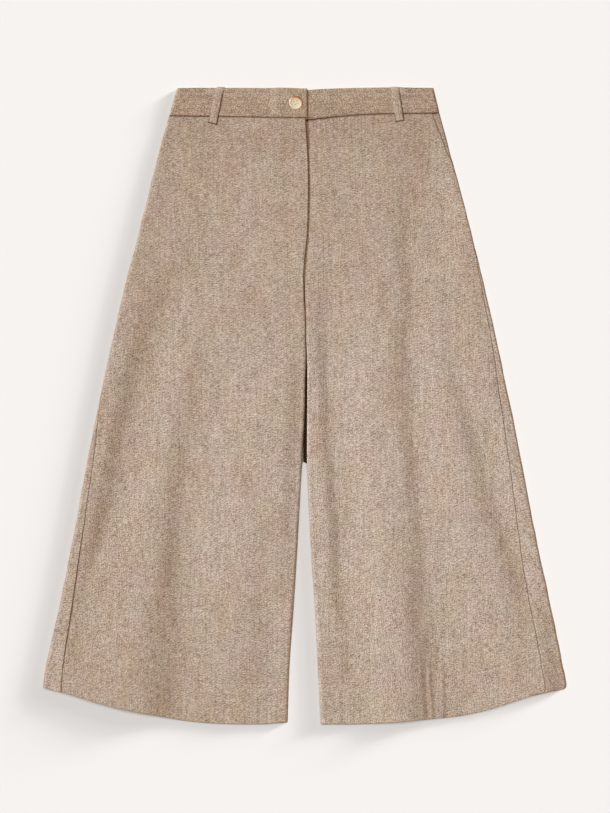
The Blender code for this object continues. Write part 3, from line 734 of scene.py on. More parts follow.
@dataclass
class LegPanel:
    """One leg's front or back: a wall of cloth that is doubled at the hem and sinks into its seams.

    A depth is how far the cloth sinks, and a reach is how near to an edge it starts to. A dark is how
    much painted shade darkens the cloth there, from 0 to 1, and a width is how far that spreads. Where a
    part of this sets in or ends, its two places are drops.
    """

    side: Side
    face: Face
    step: float = 2.6
    front_columns: int = 118
    fold_columns: int = 30
    back_columns: int = 7
    edge: tuple[float, ...] = (0, 0.1, 0.25, 0.5, 0.85, 1.3, 1.9, 2.7, 3.8)
    roll_edge: tuple[float, ...] = (2.4, 1.8, 1.3, 0.85, 0.5, 0.25, 0.1, 0)
    seam_reach: float = 1.7
    seam_depth: float = 0.7
    turned_reach: float = 1.2
    centre_reach: float = 3.4
    centre_depth: float = 0.75
    hem_line_depth: float = 0.3
    hem_line_width: float = 1.6
    pucker: float = 0.09
    inner_reach: float = 0.6
    inner_depth: float = 0.25
    least_wall: float = 0.15
    fly_depth: float = 0.3
    fly_dark: float = 0.36
    fly_widths: Span = Span(1.5, 0.9)
    fly_narrows: Span = Span(60, 180)
    fly_ends: Span = Span(236, 256)
    fly_sewn: Span = Span(240, 262)
    seam_dark_width: float = 1.15
    side_dark: Span = Span(0.06, 0.6)
    side_darkens: Span = Span(490, 650)
    side_pales: Span = Span(715, 740)
    side_dark_left: Span = Span(0.4, 0.12)
    side_pales_left: Span = Span(84, 130)
    waist_dark: Pair = Pair(0.55, 0.8)
    under_band_dark: float = 0.08
    under_band: Span = Span(44, 130)
    rim_dark: Pair = Pair(0.3, 0)
    rim_width: float = 2.2
    lap_dark: Pair = Pair(0, 1)
    lap_x: float = 2.4
    lap_width: float = 3.2
    lap_height: float = 2.0
    centre_dark: Span = Span(0.74, 0.42)
    centre_pales: Span = Span(300, 350)
    centre_width: float = 1.0
    fork: Span = Span(484, 500)
    inner_dark: Pair = Pair(0.12, 0.34)
    inner_width: float = 2.4
    gap_dark: float = 0.92
    gap_starts: Span = Span(367, 422)
    gap_ends: Span = Span(474, 492)
    gap_width: float = 0.9
    gap_widths: Span = Span(1.6, 3.4)
    gap_widens: Span = Span(425, 465)
    inside_dark: float = 0.98
    inside_starts: Span = Span(322, 372)
    inside_ends: Span = Span(488, 492)
    inside_reach: Span = Span(12, 26)

    def rows(self) -> Rows:
        """The panel's rows, closer together at the waist seam, the hem's top and the hem."""
        waist = self.side.value if self.face is Face.FRONT else "back_" + self.side.value
        length = HEM.first(self.side.value) - WAIST_SEAM.first(waist)
        above = stations(0, length - CLOTH.hem_depth, self.step, self.edge)
        below = stations(length - CLOTH.hem_depth, length, self.step, self.edge)
        return Rows(self.side, waist, np.concatenate([above, below[1:]]) / length)

    def past(self, rows: Rows) -> Grid:
        """How far the panel runs past its inner edge."""
        if self.face is Face.FRONT:
            return FRONT_PAST.at(rows.inner_drop, self.side.value)
        seam = self.side.sign * BACK_SEAM.at(rows.inner_drop, "x")
        return np.where(rows.inner_drop < CLOTH.fork_drop, rows.inner - seam - CLOTH.back_seam_gap / 2, 0)

    def section(self, rows: Rows) -> Section:
        """The outer face's points, from the side seam to the inner edge."""
        front = self.face is Face.FRONT
        from_seam = np.array(self.edge)[None, :]
        roll = INNER_ROLL.at(rows.inner_drop, self.face.value)
        end = rolled(rows, self.past(rows), roll, self.face, np.array(self.roll_edge)[None, :])
        if front:
            start = folded(rows, rows.seam + CLOTH.seam_gap / 2 + from_seam)
        else:
            first, last = rows.seam - CLOTH.seam_gap / 2, -rows.quarter - 0.5
            shares = np.linspace(0, 1, self.fold_columns + 1)[None, 1:]
            fold = folded(rows, mix(first - self.edge[-1], last - self.edge[-1], shares))
            start = Section.join([folded(rows, first - from_seam), fold])
        shares = np.linspace(0, 1, (self.front_columns if front else self.back_columns) + 1)[None, 1:-1]
        inset = mix(start.inset[:, -1:], end.inset[:, :1], shares)
        flat = np.zeros(inset.shape)
        height = rows.front_height(inset) if front else flat
        return Section.join([start, Section(inset, height, flat, flat + (1 if front else -1)), end])

    def depths(self, rows: Rows, inset: Grid, run: Grid) -> tuple[Grid, Grid, Grid]:
        """How far both faces sink at the panel's edges, and its painted shade.

        Args:
            rows: The panel's rows.
            inset: Millimetres from the side fold, as seen from above.
            run: Millimetres of cloth from the side seam.

        Returns:
            The outer face's sinking, the inner face's, and the painted shade.
        """
        x, drop = rows.plan(inset)
        length = HEM.first(self.side.value) - WAIST_SEAM.first(rows.waist)
        from_waist = rows.share * length + 0 * run
        from_hem = (1 - rows.share) * length + 0 * run
        from_inner = run[:, -1:] - run
        free_fly = self.face is Face.FRONT and self.side is Side.RIGHT
        sewn_inner = self.fly_sewn.passed(rows.inner_drop) if free_fly else 1.0
        turned = rounding(from_inner, self.turned_reach, CLOTH.thickness / 2)
        centre = rounding(from_inner, self.centre_reach, self.centre_depth)
        uneven = 0.7 + 0.5 * soft_noise(x / 33, self.side.sign, 59)
        hem_line = self.hem_line_depth * uneven * bell(from_hem - CLOTH.hem_depth, self.hem_line_width)
        pucker = soft_noise(drop / 6, self.side.sign * 3, 61) * bell(from_inner, 6)
        pucker = pucker + soft_noise(drop / 7, self.side.sign, 67) * bell(run, 7)
        under_fly = self.under_fly(x, drop)
        under_lap = bell(x - self.lap_x, self.lap_width) * bell(from_waist, self.lap_height)
        outer_sink = np.maximum.reduce(
            [
                rounding(run, self.seam_reach, self.seam_depth),
                rounding(from_waist, self.seam_reach, self.seam_depth),
                mix(turned, centre, sewn_inner),
                rounding(from_hem, self.turned_reach, CLOTH.thickness),
                hem_line + self.pucker * (1 + pucker),
                self.fly_depth * under_fly,
            ]
        )
        near = np.minimum.reduce([run, from_waist, from_inner, from_hem])
        inner_sink = rounding(near, self.inner_reach, self.inner_depth)
        above_fork = mix(*self.centre_dark, self.centre_pales.passed(rows.inner_drop))
        below_fork = self.fork.passed(rows.inner_drop)
        # Painted shade: in the side, waist and centre seams, just under the band, along the right leg's rim
        # that faces the side light, under the lap's corner at the waist, along the inner edges and the narrow
        # gap above the fork, beside the fly's edge and in the hem's pinches
        shade = np.maximum.reduce(
            [
                self.side_shade(drop) * bell(run, self.seam_dark_width),
                self.waist_dark.of(self.side) * bell(from_waist, self.seam_dark_width),
                self.under_band_dark * (1 - self.under_band.passed(drop)),
                self.rim_dark.of(self.side) * bell(inset, self.rim_width),
                self.lap_dark.of(self.side) * under_lap,
                above_fork * bell(from_inner, self.centre_width) * (1 - below_fork),
                self.inner_dark.of(self.side) * bell(from_inner, self.inner_width) * below_fork,
                self.fork_edge(rows, from_inner),
                self.fly_dark * under_fly,
                sum(crease_height(pinch, x, drop) for pinch in PAINTED_PINCH_SHADE),
            ]
        )
        return np.minimum(outer_sink, self.thickness(rows) - inner_sink - self.least_wall), inner_sink, shade

    def fork_edge(self, rows: Rows, from_inner: Grid) -> Grid:
        """Painted shadow on a front's edge beside the narrow gap above the fork, from 0 to 1."""
        if self.face is Face.BACK:
            return np.zeros(from_inner.shape)
        along = self.gap_starts.passed(rows.inner_drop) * (1 - self.gap_ends.passed(rows.inner_drop))
        width = self.gap_width
        if self.side is Side.RIGHT:
            width = mix(*self.gap_widths, self.gap_widens.passed(rows.inner_drop))
        return self.gap_dark * along * bell(from_inner, width)

    def fork_shade(self, rows: Rows, run: Grid) -> Grid:
        """Painted shadow on the inside of a wall beside the narrow gap above the fork, from 0 to 1."""
        along = self.inside_starts.passed(rows.inner_drop) * (1 - self.inside_ends.passed(rows.inner_drop))
        return self.inside_dark * along * (1 - self.inside_reach.passed(run[:, -1:] - run))

    def side_shade(self, drop: Grid) -> Grid:
        """Painted shade along the side seam: crisp low on the right leg, and only by the waist on the left
        one.
        """
        if self.side is Side.RIGHT:
            low = mix(*self.side_dark, self.side_darkens.passed(drop))
            return low * mix(1, 0.6, self.side_pales.passed(drop))
        uneven = 0.07 * soft_noise(drop / 30, 0, 23)
        return mix(*self.side_dark_left, self.side_pales_left.passed(drop)) + uneven

    def under_fly(self, x: Grid, drop: Grid) -> Grid:
        """Where the left front sinks beside the edge of the fly that laps over it, from 0 to 1, which is also
        where its painted shadow lies.
        """
        if self.face is Face.BACK or self.side is Side.RIGHT:
            return np.zeros(x.shape)
        width = mix(*self.fly_widths, self.fly_narrows.passed(drop))
        beside = bell(x - FRONT_PAST.at(drop, Side.RIGHT.value), width)
        return beside * (1 - self.fly_ends.passed(drop))

    def thickness(self, rows: Rows) -> Grid:
        """The wall's thickness in each row: the cloth, or the cloth and its turned-up hem."""
        length = HEM.first("right") - WAIST_SEAM.first("right")
        start = 1 - CLOTH.hem_depth / length
        turned = ease_between(start, start + CLOTH.hem_step / length, rows.share)
        return mix(CLOTH.thickness, CLOTH.hem_thickness, turned)

    def build(self, finish: Material) -> Piece:
        """Makes the panel.

        Args:
            finish: Its cloth.

        Returns:
            The panel's object.
        """
        rows = self.rows()
        section = self.section(rows)
        run = section.run()
        outer_sink, inner_sink, shade = self.depths(rows, section.inset, run)
        shades = np.concatenate([shade.ravel(), np.maximum(shade, self.fork_shade(rows, run)).ravel()])
        walls = []
        for depth in (outer_sink, self.thickness(rows) - inner_sink):
            x, drop = rows.plan(section.inset - section.out_inset * depth)
            walls.append(PLACEMENT.points(x, drop, section.height - section.out_up * depth))
        middle = run.shape[1] // 2
        x, drop = rows.plan(section.inset)
        run = x[:, middle : middle + 1] + (run - run[:, middle : middle + 1]) * -self.side.sign
        on_back = self.face is Face.BACK
        below = () if on_back else (f"back_{self.side.value}_panel",)
        sheet = Sheet(f"{self.face.value}_{self.side.value}", "panel", "wool_cloth", below)
        flip = (self.side is Side.LEFT) != on_back
        return sheet.build(walls, -run if on_back else run, drop, shades, flip, finish)


@dataclass
class Waistband:
    """The waistband in three pieces: two fronts, lapped and buttoned at the middle, and the back."""

    thickness: float = 2.8
    stack: float = 6.1
    lap: float = 2.35
    underlap: float = 30.0
    underlap_slope: Span = Span(-48, -32)
    seam_share: float = 0.55
    height: float = 36.0
    step: float = 1.7
    back_step: float = 14.0
    edge: tuple[float, ...] = (0, 0.08, 0.2, 0.4, 0.7, 1.1, 1.6, 2.3)
    edge_round: float = 1.35
    # How much painted shade darkens the band, from 0 to 1: in the waist seam, at the right band's end, beside
    # the lap's edge, in the notch under the lap's corner, along the rims that face the side light, and in the
    # back's seam
    seam_dark: Pair = Pair(0.55, 0.7)
    end_dark: Pair = Pair(0.4, 0)
    lap_dark: Pair = Pair(0, 0.8)
    notch_dark: Pair = Pair(0, 1)
    rim_dark: float = 0.25
    back_dark: float = 0.6
    plump: float = 0.3
    plump_reach: float = 9.0
    wobble: float = 0.22
    wobble_length: float = 19.0

    @property
    def radius(self) -> float:
        """Radius of the side fold."""
        return self.stack / 2

    @property
    def quarter(self) -> float:
        """Millimetres of band in a quarter turn of the side fold."""
        return self.radius * math.pi / 2

    def half_width(self, side: Side) -> float:
        """Half the waistband's width at the middle of its height."""
        return float(OUTER_EDGE.columns[side.value][:2].sum()) / 2

    def lift(self, x: Grid) -> Grid:
        """How much higher the right band lies where the left one's underlap is under it."""
        return (self.thickness + CLOTH.seam_gap) * self.underlap_slope.passed(x)

    def grid(self, side: Side, column: str, around: Grid) -> dict[str, Grid]:
        """The band's outer face as a grid, with a row for each drop and a column for each place.

        Args:
            side: Which side of the waist.
            column: The column of the waist tables.
            around: Millimetres of band from the side fold, towards the front if positive.

        Returns:
            Arrays named x, drop, height, out_x, out_up, from_edge, from_seam, around and inset.
        """
        half_width = self.half_width(side)
        around = around[None, :]
        angle = np.clip(around, -self.quarter, self.quarter) / self.radius
        inset = self.radius * (1 - np.cos(angle)) + np.maximum(np.abs(around) - self.quarter, 0)
        out = half_width - inset
        along = WAIST_SEAM.last("out") * out / half_width
        wobble = self.wobble * soft_noise(along / self.wobble_length, side.sign * 5, 31)
        top, seam = BAND_TOP.at(along, column) + wobble, WAIST_SEAM.at(along, column)
        drop = mix(top, seam, stations(0, self.height, self.step, self.edge)[:, None] / self.height)
        slant = (OUTER_EDGE.at(drop, side.value) - half_width) * (1 - inset / half_width)
        columns = {
            "x": side.sign * (out + slant),
            "drop": drop,
            "height": self.radius * (1 + np.sin(angle)),
            "out_x": side.sign * np.cos(angle),
            "out_up": np.sin(angle),
            "from_edge": np.minimum(drop - top, seam - drop),
            "from_seam": seam - drop,
            "around": around,
            "inset": inset,
        }
        return {name: values + 0 * drop for name, values in columns.items()}

    def build_front(self, side: Side, finish: Material) -> Piece:
        """Makes one front band.

        Args:
            side: Which band.
            finish: Its cloth.

        Returns:
            The band's object.
        """
        on_right = side is Side.RIGHT
        end_x = self.lap if on_right else -self.underlap
        start = -self.seam_share * self.quarter + CLOTH.seam_gap / 2
        reach = self.quarter + self.half_width(side) - self.radius - side.sign * end_x
        grid = self.grid(side, side.value, stations(start, reach, self.step, self.edge))
        x, drop, from_edge, from_seam = (grid[name] for name in ("x", "drop", "from_edge", "from_seam"))
        plump = self.plump * ease_between(0, self.plump_reach, from_edge) - self.plump
        height = plump + rippling(BAND_RIPPLES, x, drop)
        height = height * ease_between(self.quarter, self.quarter + 12, grid["around"])
        grid["height"] = grid["height"] + height + (self.lift(x) if on_right else 0)
        from_end = reach - grid["around"]
        from_top = from_edge + np.where(from_seam < self.plump_reach, self.plump_reach, 0)
        # Painted shade: in the waist seam, at the lapped end, along the top rim and the side fold, beside the
        # lap's edge and in the notch under its corner
        shade = np.maximum.reduce(
            [
                self.seam_dark.of(side) * bell(from_seam, 0.9),
                self.end_dark.of(side) * bell(from_end, 0.6),
                self.rim_dark * bell(np.minimum(from_top, grid["inset"]), 1.2),
                self.lap_dark.of(side) * bell(x - self.lap - 0.6, 1.15),
                self.notch_dark.of(side) * bell(x - self.lap, 3.2) * bell(from_seam, 1.8),
            ]
        )
        rests_on = ("waistband_back_cloth",) + (("waistband_left_cloth",) if on_right else ())
        sheet = Sheet("waistband_" + side.value, "cloth", "band_cloth", rests_on)
        return self.shell(sheet, grid, np.minimum(from_edge, from_end), shade, not on_right, finish)

    def build_back(self, finish: Material) -> Piece:
        """Makes the back band, which lies on the surface and turns up at both side folds.

        Args:
            finish: Its cloth.

        Returns:
            The band's object.
        """
        halves = []
        start = self.seam_share * self.quarter + CLOTH.seam_gap / 2
        for side in Side:
            to_middle = self.quarter + self.half_width(side) - self.radius
            turning = stations(0, self.quarter - start + 3, 0.4, (0, 0.1, 0.3)) + start
            flat = np.arange(turning[-1] + self.back_step, to_middle - self.back_step / 2, self.back_step)
            middle = [to_middle] if side is Side.RIGHT else []
            grid = self.grid(side, "back_" + side.value, -np.concatenate([turning, flat, middle]))
            grid["from_end"] = -grid["around"] - start
            grid["around"] = grid["around"] * -side.sign
            if side is Side.LEFT:
                grid = {name: values[:, ::-1] for name, values in grid.items()}
                grid["around"] = grid["around"] - 2 * to_middle
            halves.append(grid)
        grid = {name: np.concatenate([half[name] for half in halves], axis=1) for name in halves[0]}
        near = np.minimum(grid["from_edge"], grid["from_end"])
        sheet = Sheet("waistband_back", "cloth", "band_cloth")
        shade = self.back_dark * bell(grid["from_seam"], 1.0)
        return self.shell(sheet, grid, near, shade, True, finish)

    def shell(
        self, sheet: Sheet, grid: dict[str, Grid], near: Grid, shade: Grid, flip: bool, finish: Material
    ) -> Piece:
        """Makes a band of the grid's outer face and rounds its edges.

        Args:
            sheet: What the piece is called and stands for.
            grid: The outer face.
            near: Millimetres to the nearest edge.
            shade: The painted shade.
            flip: Whether the columns run towards smaller x on an upper face.
            finish: Its cloth.

        Returns:
            The band's object.
        """
        sink = rounding(near, self.edge_round, self.edge_round)
        walls = []
        for depth in (sink, self.thickness - sink):
            x, height = grid["x"] - grid["out_x"] * depth, grid["height"] - grid["out_up"] * depth
            walls.append(PLACEMENT.points(x, grid["drop"], height))
        return sheet.build(walls, grid["drop"], grid["around"], np.tile(shade.ravel(), 2), flip, finish)


@dataclass
class BeltLoop:
    """A folded strip of cloth over the waistband, with a foot on the panel under it."""

    side: Side
    top_x: float
    top_drop: float
    foot_x: float
    foot_drop: float
    thickness: float = 1.4
    top_width: float = 10.4
    foot_width: float = 12.0
    spare: float = 0.45
    step: float = 0.8
    edge: tuple[float, ...] = (0, 0.06, 0.15, 0.3, 0.5, 0.75, 1.1)
    edge_round: float = 0.82

    def lay(self, band: Waistband) -> Table:
        """Height of the strip's inner face and what its folded ends add, at a share of its length."""
        seam = float(WAIST_SEAM.at(abs(self.foot_x), self.side.value))
        length = self.foot_drop - self.top_drop
        top, panel = band.stack + CLOTH.seam_gap, FULLNESS.first("crest") + CLOTH.seam_gap
        return Table(
            "share height extra",
            (0.0, top - 0.9, 0.0),
            (0.03, top - 0.3, 0.2),
            (0.1, top, 0.3),
            (0.2, top + 0.1, 0.1),
            (0.45, band.stack + self.spare, 0.0),
            (0.7, band.stack + self.spare, 0.0),
            ((seam - 1.5 - self.top_drop) / length, band.stack + 0.35, 0.2),
            ((seam + 2.0 - self.top_drop) / length, panel + 0.3, 0.4),
            (0.97, panel, 0.5),
            (1.0, panel, 0.1),
        )

    def build(self, band: Waistband, finish: Material) -> Piece:
        """Makes the loop.

        Args:
            band: The waistband that it crosses.
            finish: Its cloth.

        Returns:
            The loop's object.
        """
        lay = self.lay(band)
        length = self.foot_drop - self.top_drop
        down = stations(0, length, self.step, self.edge)[:, None]
        share = down / length
        half = mix(self.top_width, self.foot_width, share) / 2
        half = half + 0.15 * soft_noise(down / 6, self.side.sign, 43)
        across = stations(-1, 1, 0.12, np.array(self.edge) / self.foot_width * 2)[None, :] * half
        down = down + 0 * across
        lean = (self.foot_x - self.top_x) / length
        x = mix(self.top_x, self.foot_x, share) + across
        drop = mix(self.top_drop, self.foot_drop, share) - across * lean * ease_between(0, 0.25, share)
        near_side = half - np.abs(across)
        near = np.minimum(near_side, np.minimum(down, length - down))
        sink = rounding(near, self.edge_round, self.edge_round)
        crown = 0.18 * ease_between(0, 3, near_side) * ease_between(0, 0.1, share)
        uneven = 0.1 * soft_noise(x / 5, drop / 7, 47)
        base, thickness = lay.at(share, "height"), self.thickness + lay.at(share, "extra")
        heights = (base + thickness - sink + crown + uneven, base + sink)
        walls = [PLACEMENT.points(x, drop, height) for height in heights]
        # Painted shade along the strip's edges: faint all round, dark down its right side and across its foot
        # where it would cast its shadow, and darker down its left side towards the foot
        shade = np.maximum.reduce(
            [
                0.1 * bell(near, 0.7),
                1.0 * bell(half - across, 1.4) * ease_between(0.02, 0.25, share),
                mix(0.2, 0.8, ease_between(0.6, 0.85, share)) * bell(half + across, 0.95),
                1.0 * bell(length - down, 1.35),
            ]
        )
        rests_on = (f"waistband_{self.side.value}_cloth",)
        sheet = Sheet("belt_loop_" + self.side.value, "strip", "loop_cloth", rests_on)
        return sheet.build(walls, across, down, np.tile(shade.ravel(), 2), False, finish)


def select_only(*pieces: Piece) -> None:
    """Selects these objects alone and makes the first one active."""
    bpy.ops.object.select_all(action="DESELECT")
    for piece in pieces:
        piece.select_set(True)
    bpy.context.view_layer.objects.active = pieces[0]


def settle(piece: Piece) -> None:
    """Applies a piece's modifiers and takes its place into its mesh."""
    select_only(piece)
    for modifier in list(piece.modifiers):
        bpy.ops.object.modifier_apply(modifier=modifier.name)
    bpy.ops.object.transform_apply(location=True, rotation=True, scale=True)


@contextmanager
def shaping() -> Iterator[None]:
    """Edit mode on the active object, which starts and ends with all selected, and with its faces out."""
    bpy.ops.object.mode_set(mode="EDIT")
    bpy.ops.mesh.select_all(action="SELECT")
    yield
    bpy.ops.mesh.select_all(action="SELECT")
    bpy.ops.mesh.normals_make_consistent(inside=False)
    bpy.ops.object.mode_set(mode="OBJECT")


@dataclass
class Button:
    """A turned four-hole button with a raised rim and a dished middle.

    The profile is a ring for each pair: its distance from the axis and its height over the flat base.
    """

    radius: float = 9.0
    hole: float = 1.7
    spread: float = 3.6
    turn: float = math.radians(18)
    sides: int = 72
    hole_sides: int = 24
    thread: float = 0.4
    thread_height: float = 1.75
    profile: tuple[tuple[float, float], ...] = (
        (5.6, 0.0), (6.6, 0.18), (7.6, 0.5), (8.4, 0.95), (8.9, 1.5), (9.0, 1.8), (9.0, 2.15),
        (8.75, 2.6), (8.3, 2.84), (7.8, 2.9), (7.2, 2.82), (6.6, 2.64), (6.0, 2.46), (5.2, 2.32),
        (4.2, 2.22), (2.0, 2.18),
    )

    def axis(self) -> Vector:
        """The middle of the button's base, in metres."""
        low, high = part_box("button")
        return Vector(((low.x + high.x) / 2, (low.y + high.y) / 2, low.z))

    def hole_places(self) -> list[Vector]:
        """The middles of the four holes, at the base."""
        reach = self.spread / math.sqrt(2) * MM
        angles = [self.turn + math.pi * (k + 0.5) / 2 for k in range(4)]
        return [self.axis() + Vector((reach * math.cos(a), reach * math.sin(a), 0)) for a in angles]

    def build(self, finish: Material) -> Piece:
        """Turns the button from a disc, ring by ring, drills it and eases the holes' rims.

        Args:
            finish: Its resin.

        Returns:
            The button's object.
        """
        axis = self.axis()
        bpy.ops.mesh.primitive_circle_add(
            vertices=self.sides, radius=self.profile[0][0] * MM, fill_type="NGON", location=axis
        )
        piece = bpy.context.active_object
        piece.name = "button_turned"
        with shaping():
            for (radius, height), (next_radius, next_height) in zip(self.profile, self.profile[1:]):
                rise = {"value": (0, 0, (next_height - height) * MM)}
                grow = next_radius / radius
                bpy.ops.mesh.extrude_region_move(TRANSFORM_OT_translate=rise)
                bpy.ops.transform.resize(value=(grow, grow, 1), center_override=tuple(axis))
        drills = [self.drill(place) for place in self.hole_places()]
        for drill in drills:
            cut = piece.modifiers.new(drill.name, "BOOLEAN")
            cut.operation, cut.object = "DIFFERENCE", drill
        settle(piece)
        for drill in drills:
            bpy.data.objects.remove(drill, do_unlink=True)
        bevel = piece.modifiers.new("eased rims", "BEVEL")
        bevel.width, bevel.segments, bevel.use_clamp_overlap = 0.16 * MM, 3, True
        bevel.limit_method, bevel.angle_limit = "ANGLE", math.radians(55)
        settle(piece)
        bpy.ops.object.shade_smooth_by_angle(angle=math.radians(40))
        dress(piece, finish, "button_resin", "button")
        return piece

    def drill(self, place: Vector) -> Piece:
        """A cylinder through the button at one hole."""
        bpy.ops.mesh.primitive_cylinder_add(
            vertices=self.hole_sides, radius=self.hole / 2 * MM, depth=10 * MM, location=place
        )
        return bpy.context.active_object

    def build_thread(self, finish: Material) -> Piece:
        """Sews the button on with two pairs of holes, three strands in each.

        Args:
            finish: The thread.

        Returns:
            The thread's object.
        """
        places = self.hole_places()
        up = Vector((0, 0, 1))
        strands = []
        for start, end in ((places[0], places[1]), (places[3], places[2])):
            across = (end - start).normalized().cross(up)
            for k in (-1, 0, 1):
                shift = across * k * self.thread * 1.25 * MM + up * self.thread_height * MM
                strands.append((start + shift, end + shift, (1.0 - 0.12 * abs(k)) * MM))
        return sew("button_thread", strands, self.thread * MM, finish, "button_resin")


def strand(name: str, length: float, rise: float, radius: float) -> Piece:
    """Models one arched strand of thread along X, by spinning a ring round its middle.

    Args:
        name: The strand's name.
        length: From end to end.
        rise: Height of its arch.
        radius: Radius of the thread.

    Returns:
        The strand's object, with the arch's middle over the origin.
    """
    bpy.ops.mesh.primitive_circle_add(
        vertices=8, radius=radius, location=(-length / 2, 0, 0), fill_type="NOTHING"
    )
    piece = bpy.context.active_object
    piece.name = name
    with shaping():
        bpy.ops.mesh.spin(steps=8, angle=math.pi, center=(0, 0, 0), axis=(0, 1, 0))
        bpy.ops.mesh.select_all(action="SELECT")
        bpy.ops.mesh.fill_holes(sides=0)
        bpy.ops.mesh.select_all(action="SELECT")
        bpy.ops.transform.resize(value=(1, 1, rise / (length / 2)), center_override=(0, 0, 0))
    settle(piece)
    return piece


def sew(
    name: str, stitches: Sequence[tuple[Vector, Vector, float]], radius: float, finish: Material, slot: str
) -> Piece:
    """Copies one modelled strand to every stitch and joins the copies.

    Args:
        name: The piece's name.
        stitches: Each stitch's start, end and rise, in metres.
        radius: Radius of the thread.
        finish: The thread.
        slot: The slot of its finish; not used.

    Returns:
        The stitches as one object.
    """
    model_length, model_rise = 2 * MM, 1 * MM
    model = strand(name + "_model", model_length, model_rise, radius)
    copies = []
    for start, end, rise in stitches:
        along = end - start
        copy = model.copy()
        copy.data = model.data.copy()
        bpy.context.scene.collection.objects.link(copy)
        stretch = Matrix.Diagonal((along.length / model_length, 1, rise / model_rise, 1))
        turn = Matrix.Rotation(math.atan2(along.y, along.x), 4, "Z")
        copy.data.transform(Matrix.Translation((start + end) / 2) @ turn @ stretch)
        copies.append(copy)
    bpy.data.objects.remove(model, do_unlink=True)
    select_only(*copies)
    bpy.ops.object.join()
    piece = bpy.context.active_object
    piece.name = name
    bpy.ops.object.shade_smooth()
    dress(piece, finish, slot)
    return piece


@dataclass
class FlyStitching:
    """The buttonhole's purl stitches and the bar tack at the foot of the fly."""

    thread: float = 0.26
    hole_drop: float = 18.2
    hole_start: float = -25.6
    hole_end: float = -12.0
    hole_slit: float = 0.22
    hole_half: float = 1.25
    pitch: float = 0.62
    rise: float = 0.34
    tack_x: float = -0.9
    tack_drop: float = 217.0
    tack_length: float = 5.0
    tack_half: float = 0.8
    tack_pitch: float = 0.42
    tack_rise: float = 0.4

    def buttonhole(self, band: Waistband, finish: Material) -> Piece:
        """Works the buttonhole: two rows of stitches side by side, closed by a fan at the far end.

        Args:
            band: The waistband that it is worked in.
            finish: The thread.

        Returns:
            The stitches' object.
        """
        x = np.arange(self.hole_start, self.hole_end, self.pitch)
        height = band.stack + band.thickness + CLOTH.seam_gap - 0.05
        rise = self.rise * MM
        stitches = []
        for side in (-1, 1):
            near = PLACEMENT.points(x, self.hole_drop + side * self.hole_slit, height)
            far = PLACEMENT.points(x, self.hole_drop + side * self.hole_half, height)
            stitches += [(Vector(a), Vector(b), rise) for a, b in zip(near, far)]
        middle = Vector(PLACEMENT.points(self.hole_start, self.hole_drop, height)[0])
        for angle in np.linspace(math.radians(115), math.radians(245), 7):
            out = Vector((math.cos(angle), math.sin(angle), 0))
            stitches.append((middle + out * 0.3 * MM, middle + out * self.hole_half * MM, rise))
        return sew("buttonhole_stitches", stitches, self.thread * MM, finish, "band_cloth")

    def bar_tack(self, finish: Material) -> Piece:
        """Works the bar tack across the foot of the fly.

        Args:
            finish: The thread.

        Returns:
            The stitches' object.
        """
        height = float(FULLNESS.at(self.tack_drop, "crest")) + 0.75
        x = self.tack_x + np.arange(-self.tack_length / 2, self.tack_length / 2, self.tack_pitch)
        drops = (self.tack_drop - self.tack_half, self.tack_drop + self.tack_half)
        ends = [PLACEMENT.points(x, drop, height) for drop in drops]
        stitches = [(Vector(a), Vector(b), self.tack_rise * MM) for a, b in zip(*ends)]
        return sew("fly_bar_tack", stitches, self.thread * MM, finish, "band_cloth")


def set_inputs(node: Node, inputs: dict[Any, Any]) -> None:
    """Gives a node's inputs their values by name or number. A socket or a node's first output is linked."""
    for name, value in inputs.items():
        if isinstance(value, Node):
            value = value.outputs[0]
        if isinstance(value, Socket):
            node.id_data.links.new(value, node.inputs[name])
        else:
            node.inputs[name].default_value = value


def add_node(tree: Tree, kind: str, inputs: dict[Any, Any] | None = None, **settings: Any) -> Node:
    """Adds a node with its settings and links.

    Args:
        tree: The node tree.
        kind: The node's type, without its prefix.
        inputs: What its inputs take.
        settings: The node's own properties.

    Returns:
        The new node.
    """
    node = tree.nodes.new("ShaderNode" + kind)
    for name, value in settings.items():
        setattr(node, name, value)
    set_inputs(node, inputs or {})
    return node


def set_stops(ramp: Node, stops: Sequence[tuple[float, str]]) -> None:
    """Gives a colour ramp its stops, each a place and a hex colour."""
    elements = ramp.color_ramp.elements
    while len(elements) > 1:
        elements.remove(elements[-1])
    elements[0].position, elements[0].color = stops[0][0], linear(stops[0][1])
    for place, colour in stops[1:]:
        elements.new(place).color = linear(colour)


def new_material(name: str) -> tuple[Material, Tree, Node]:
    """A new material with its node tree and its Principled shader."""
    material = bpy.data.materials.new(name)
    material.use_nodes = True
    tree = material.node_tree
    return material, tree, tree.nodes["Principled BSDF"]


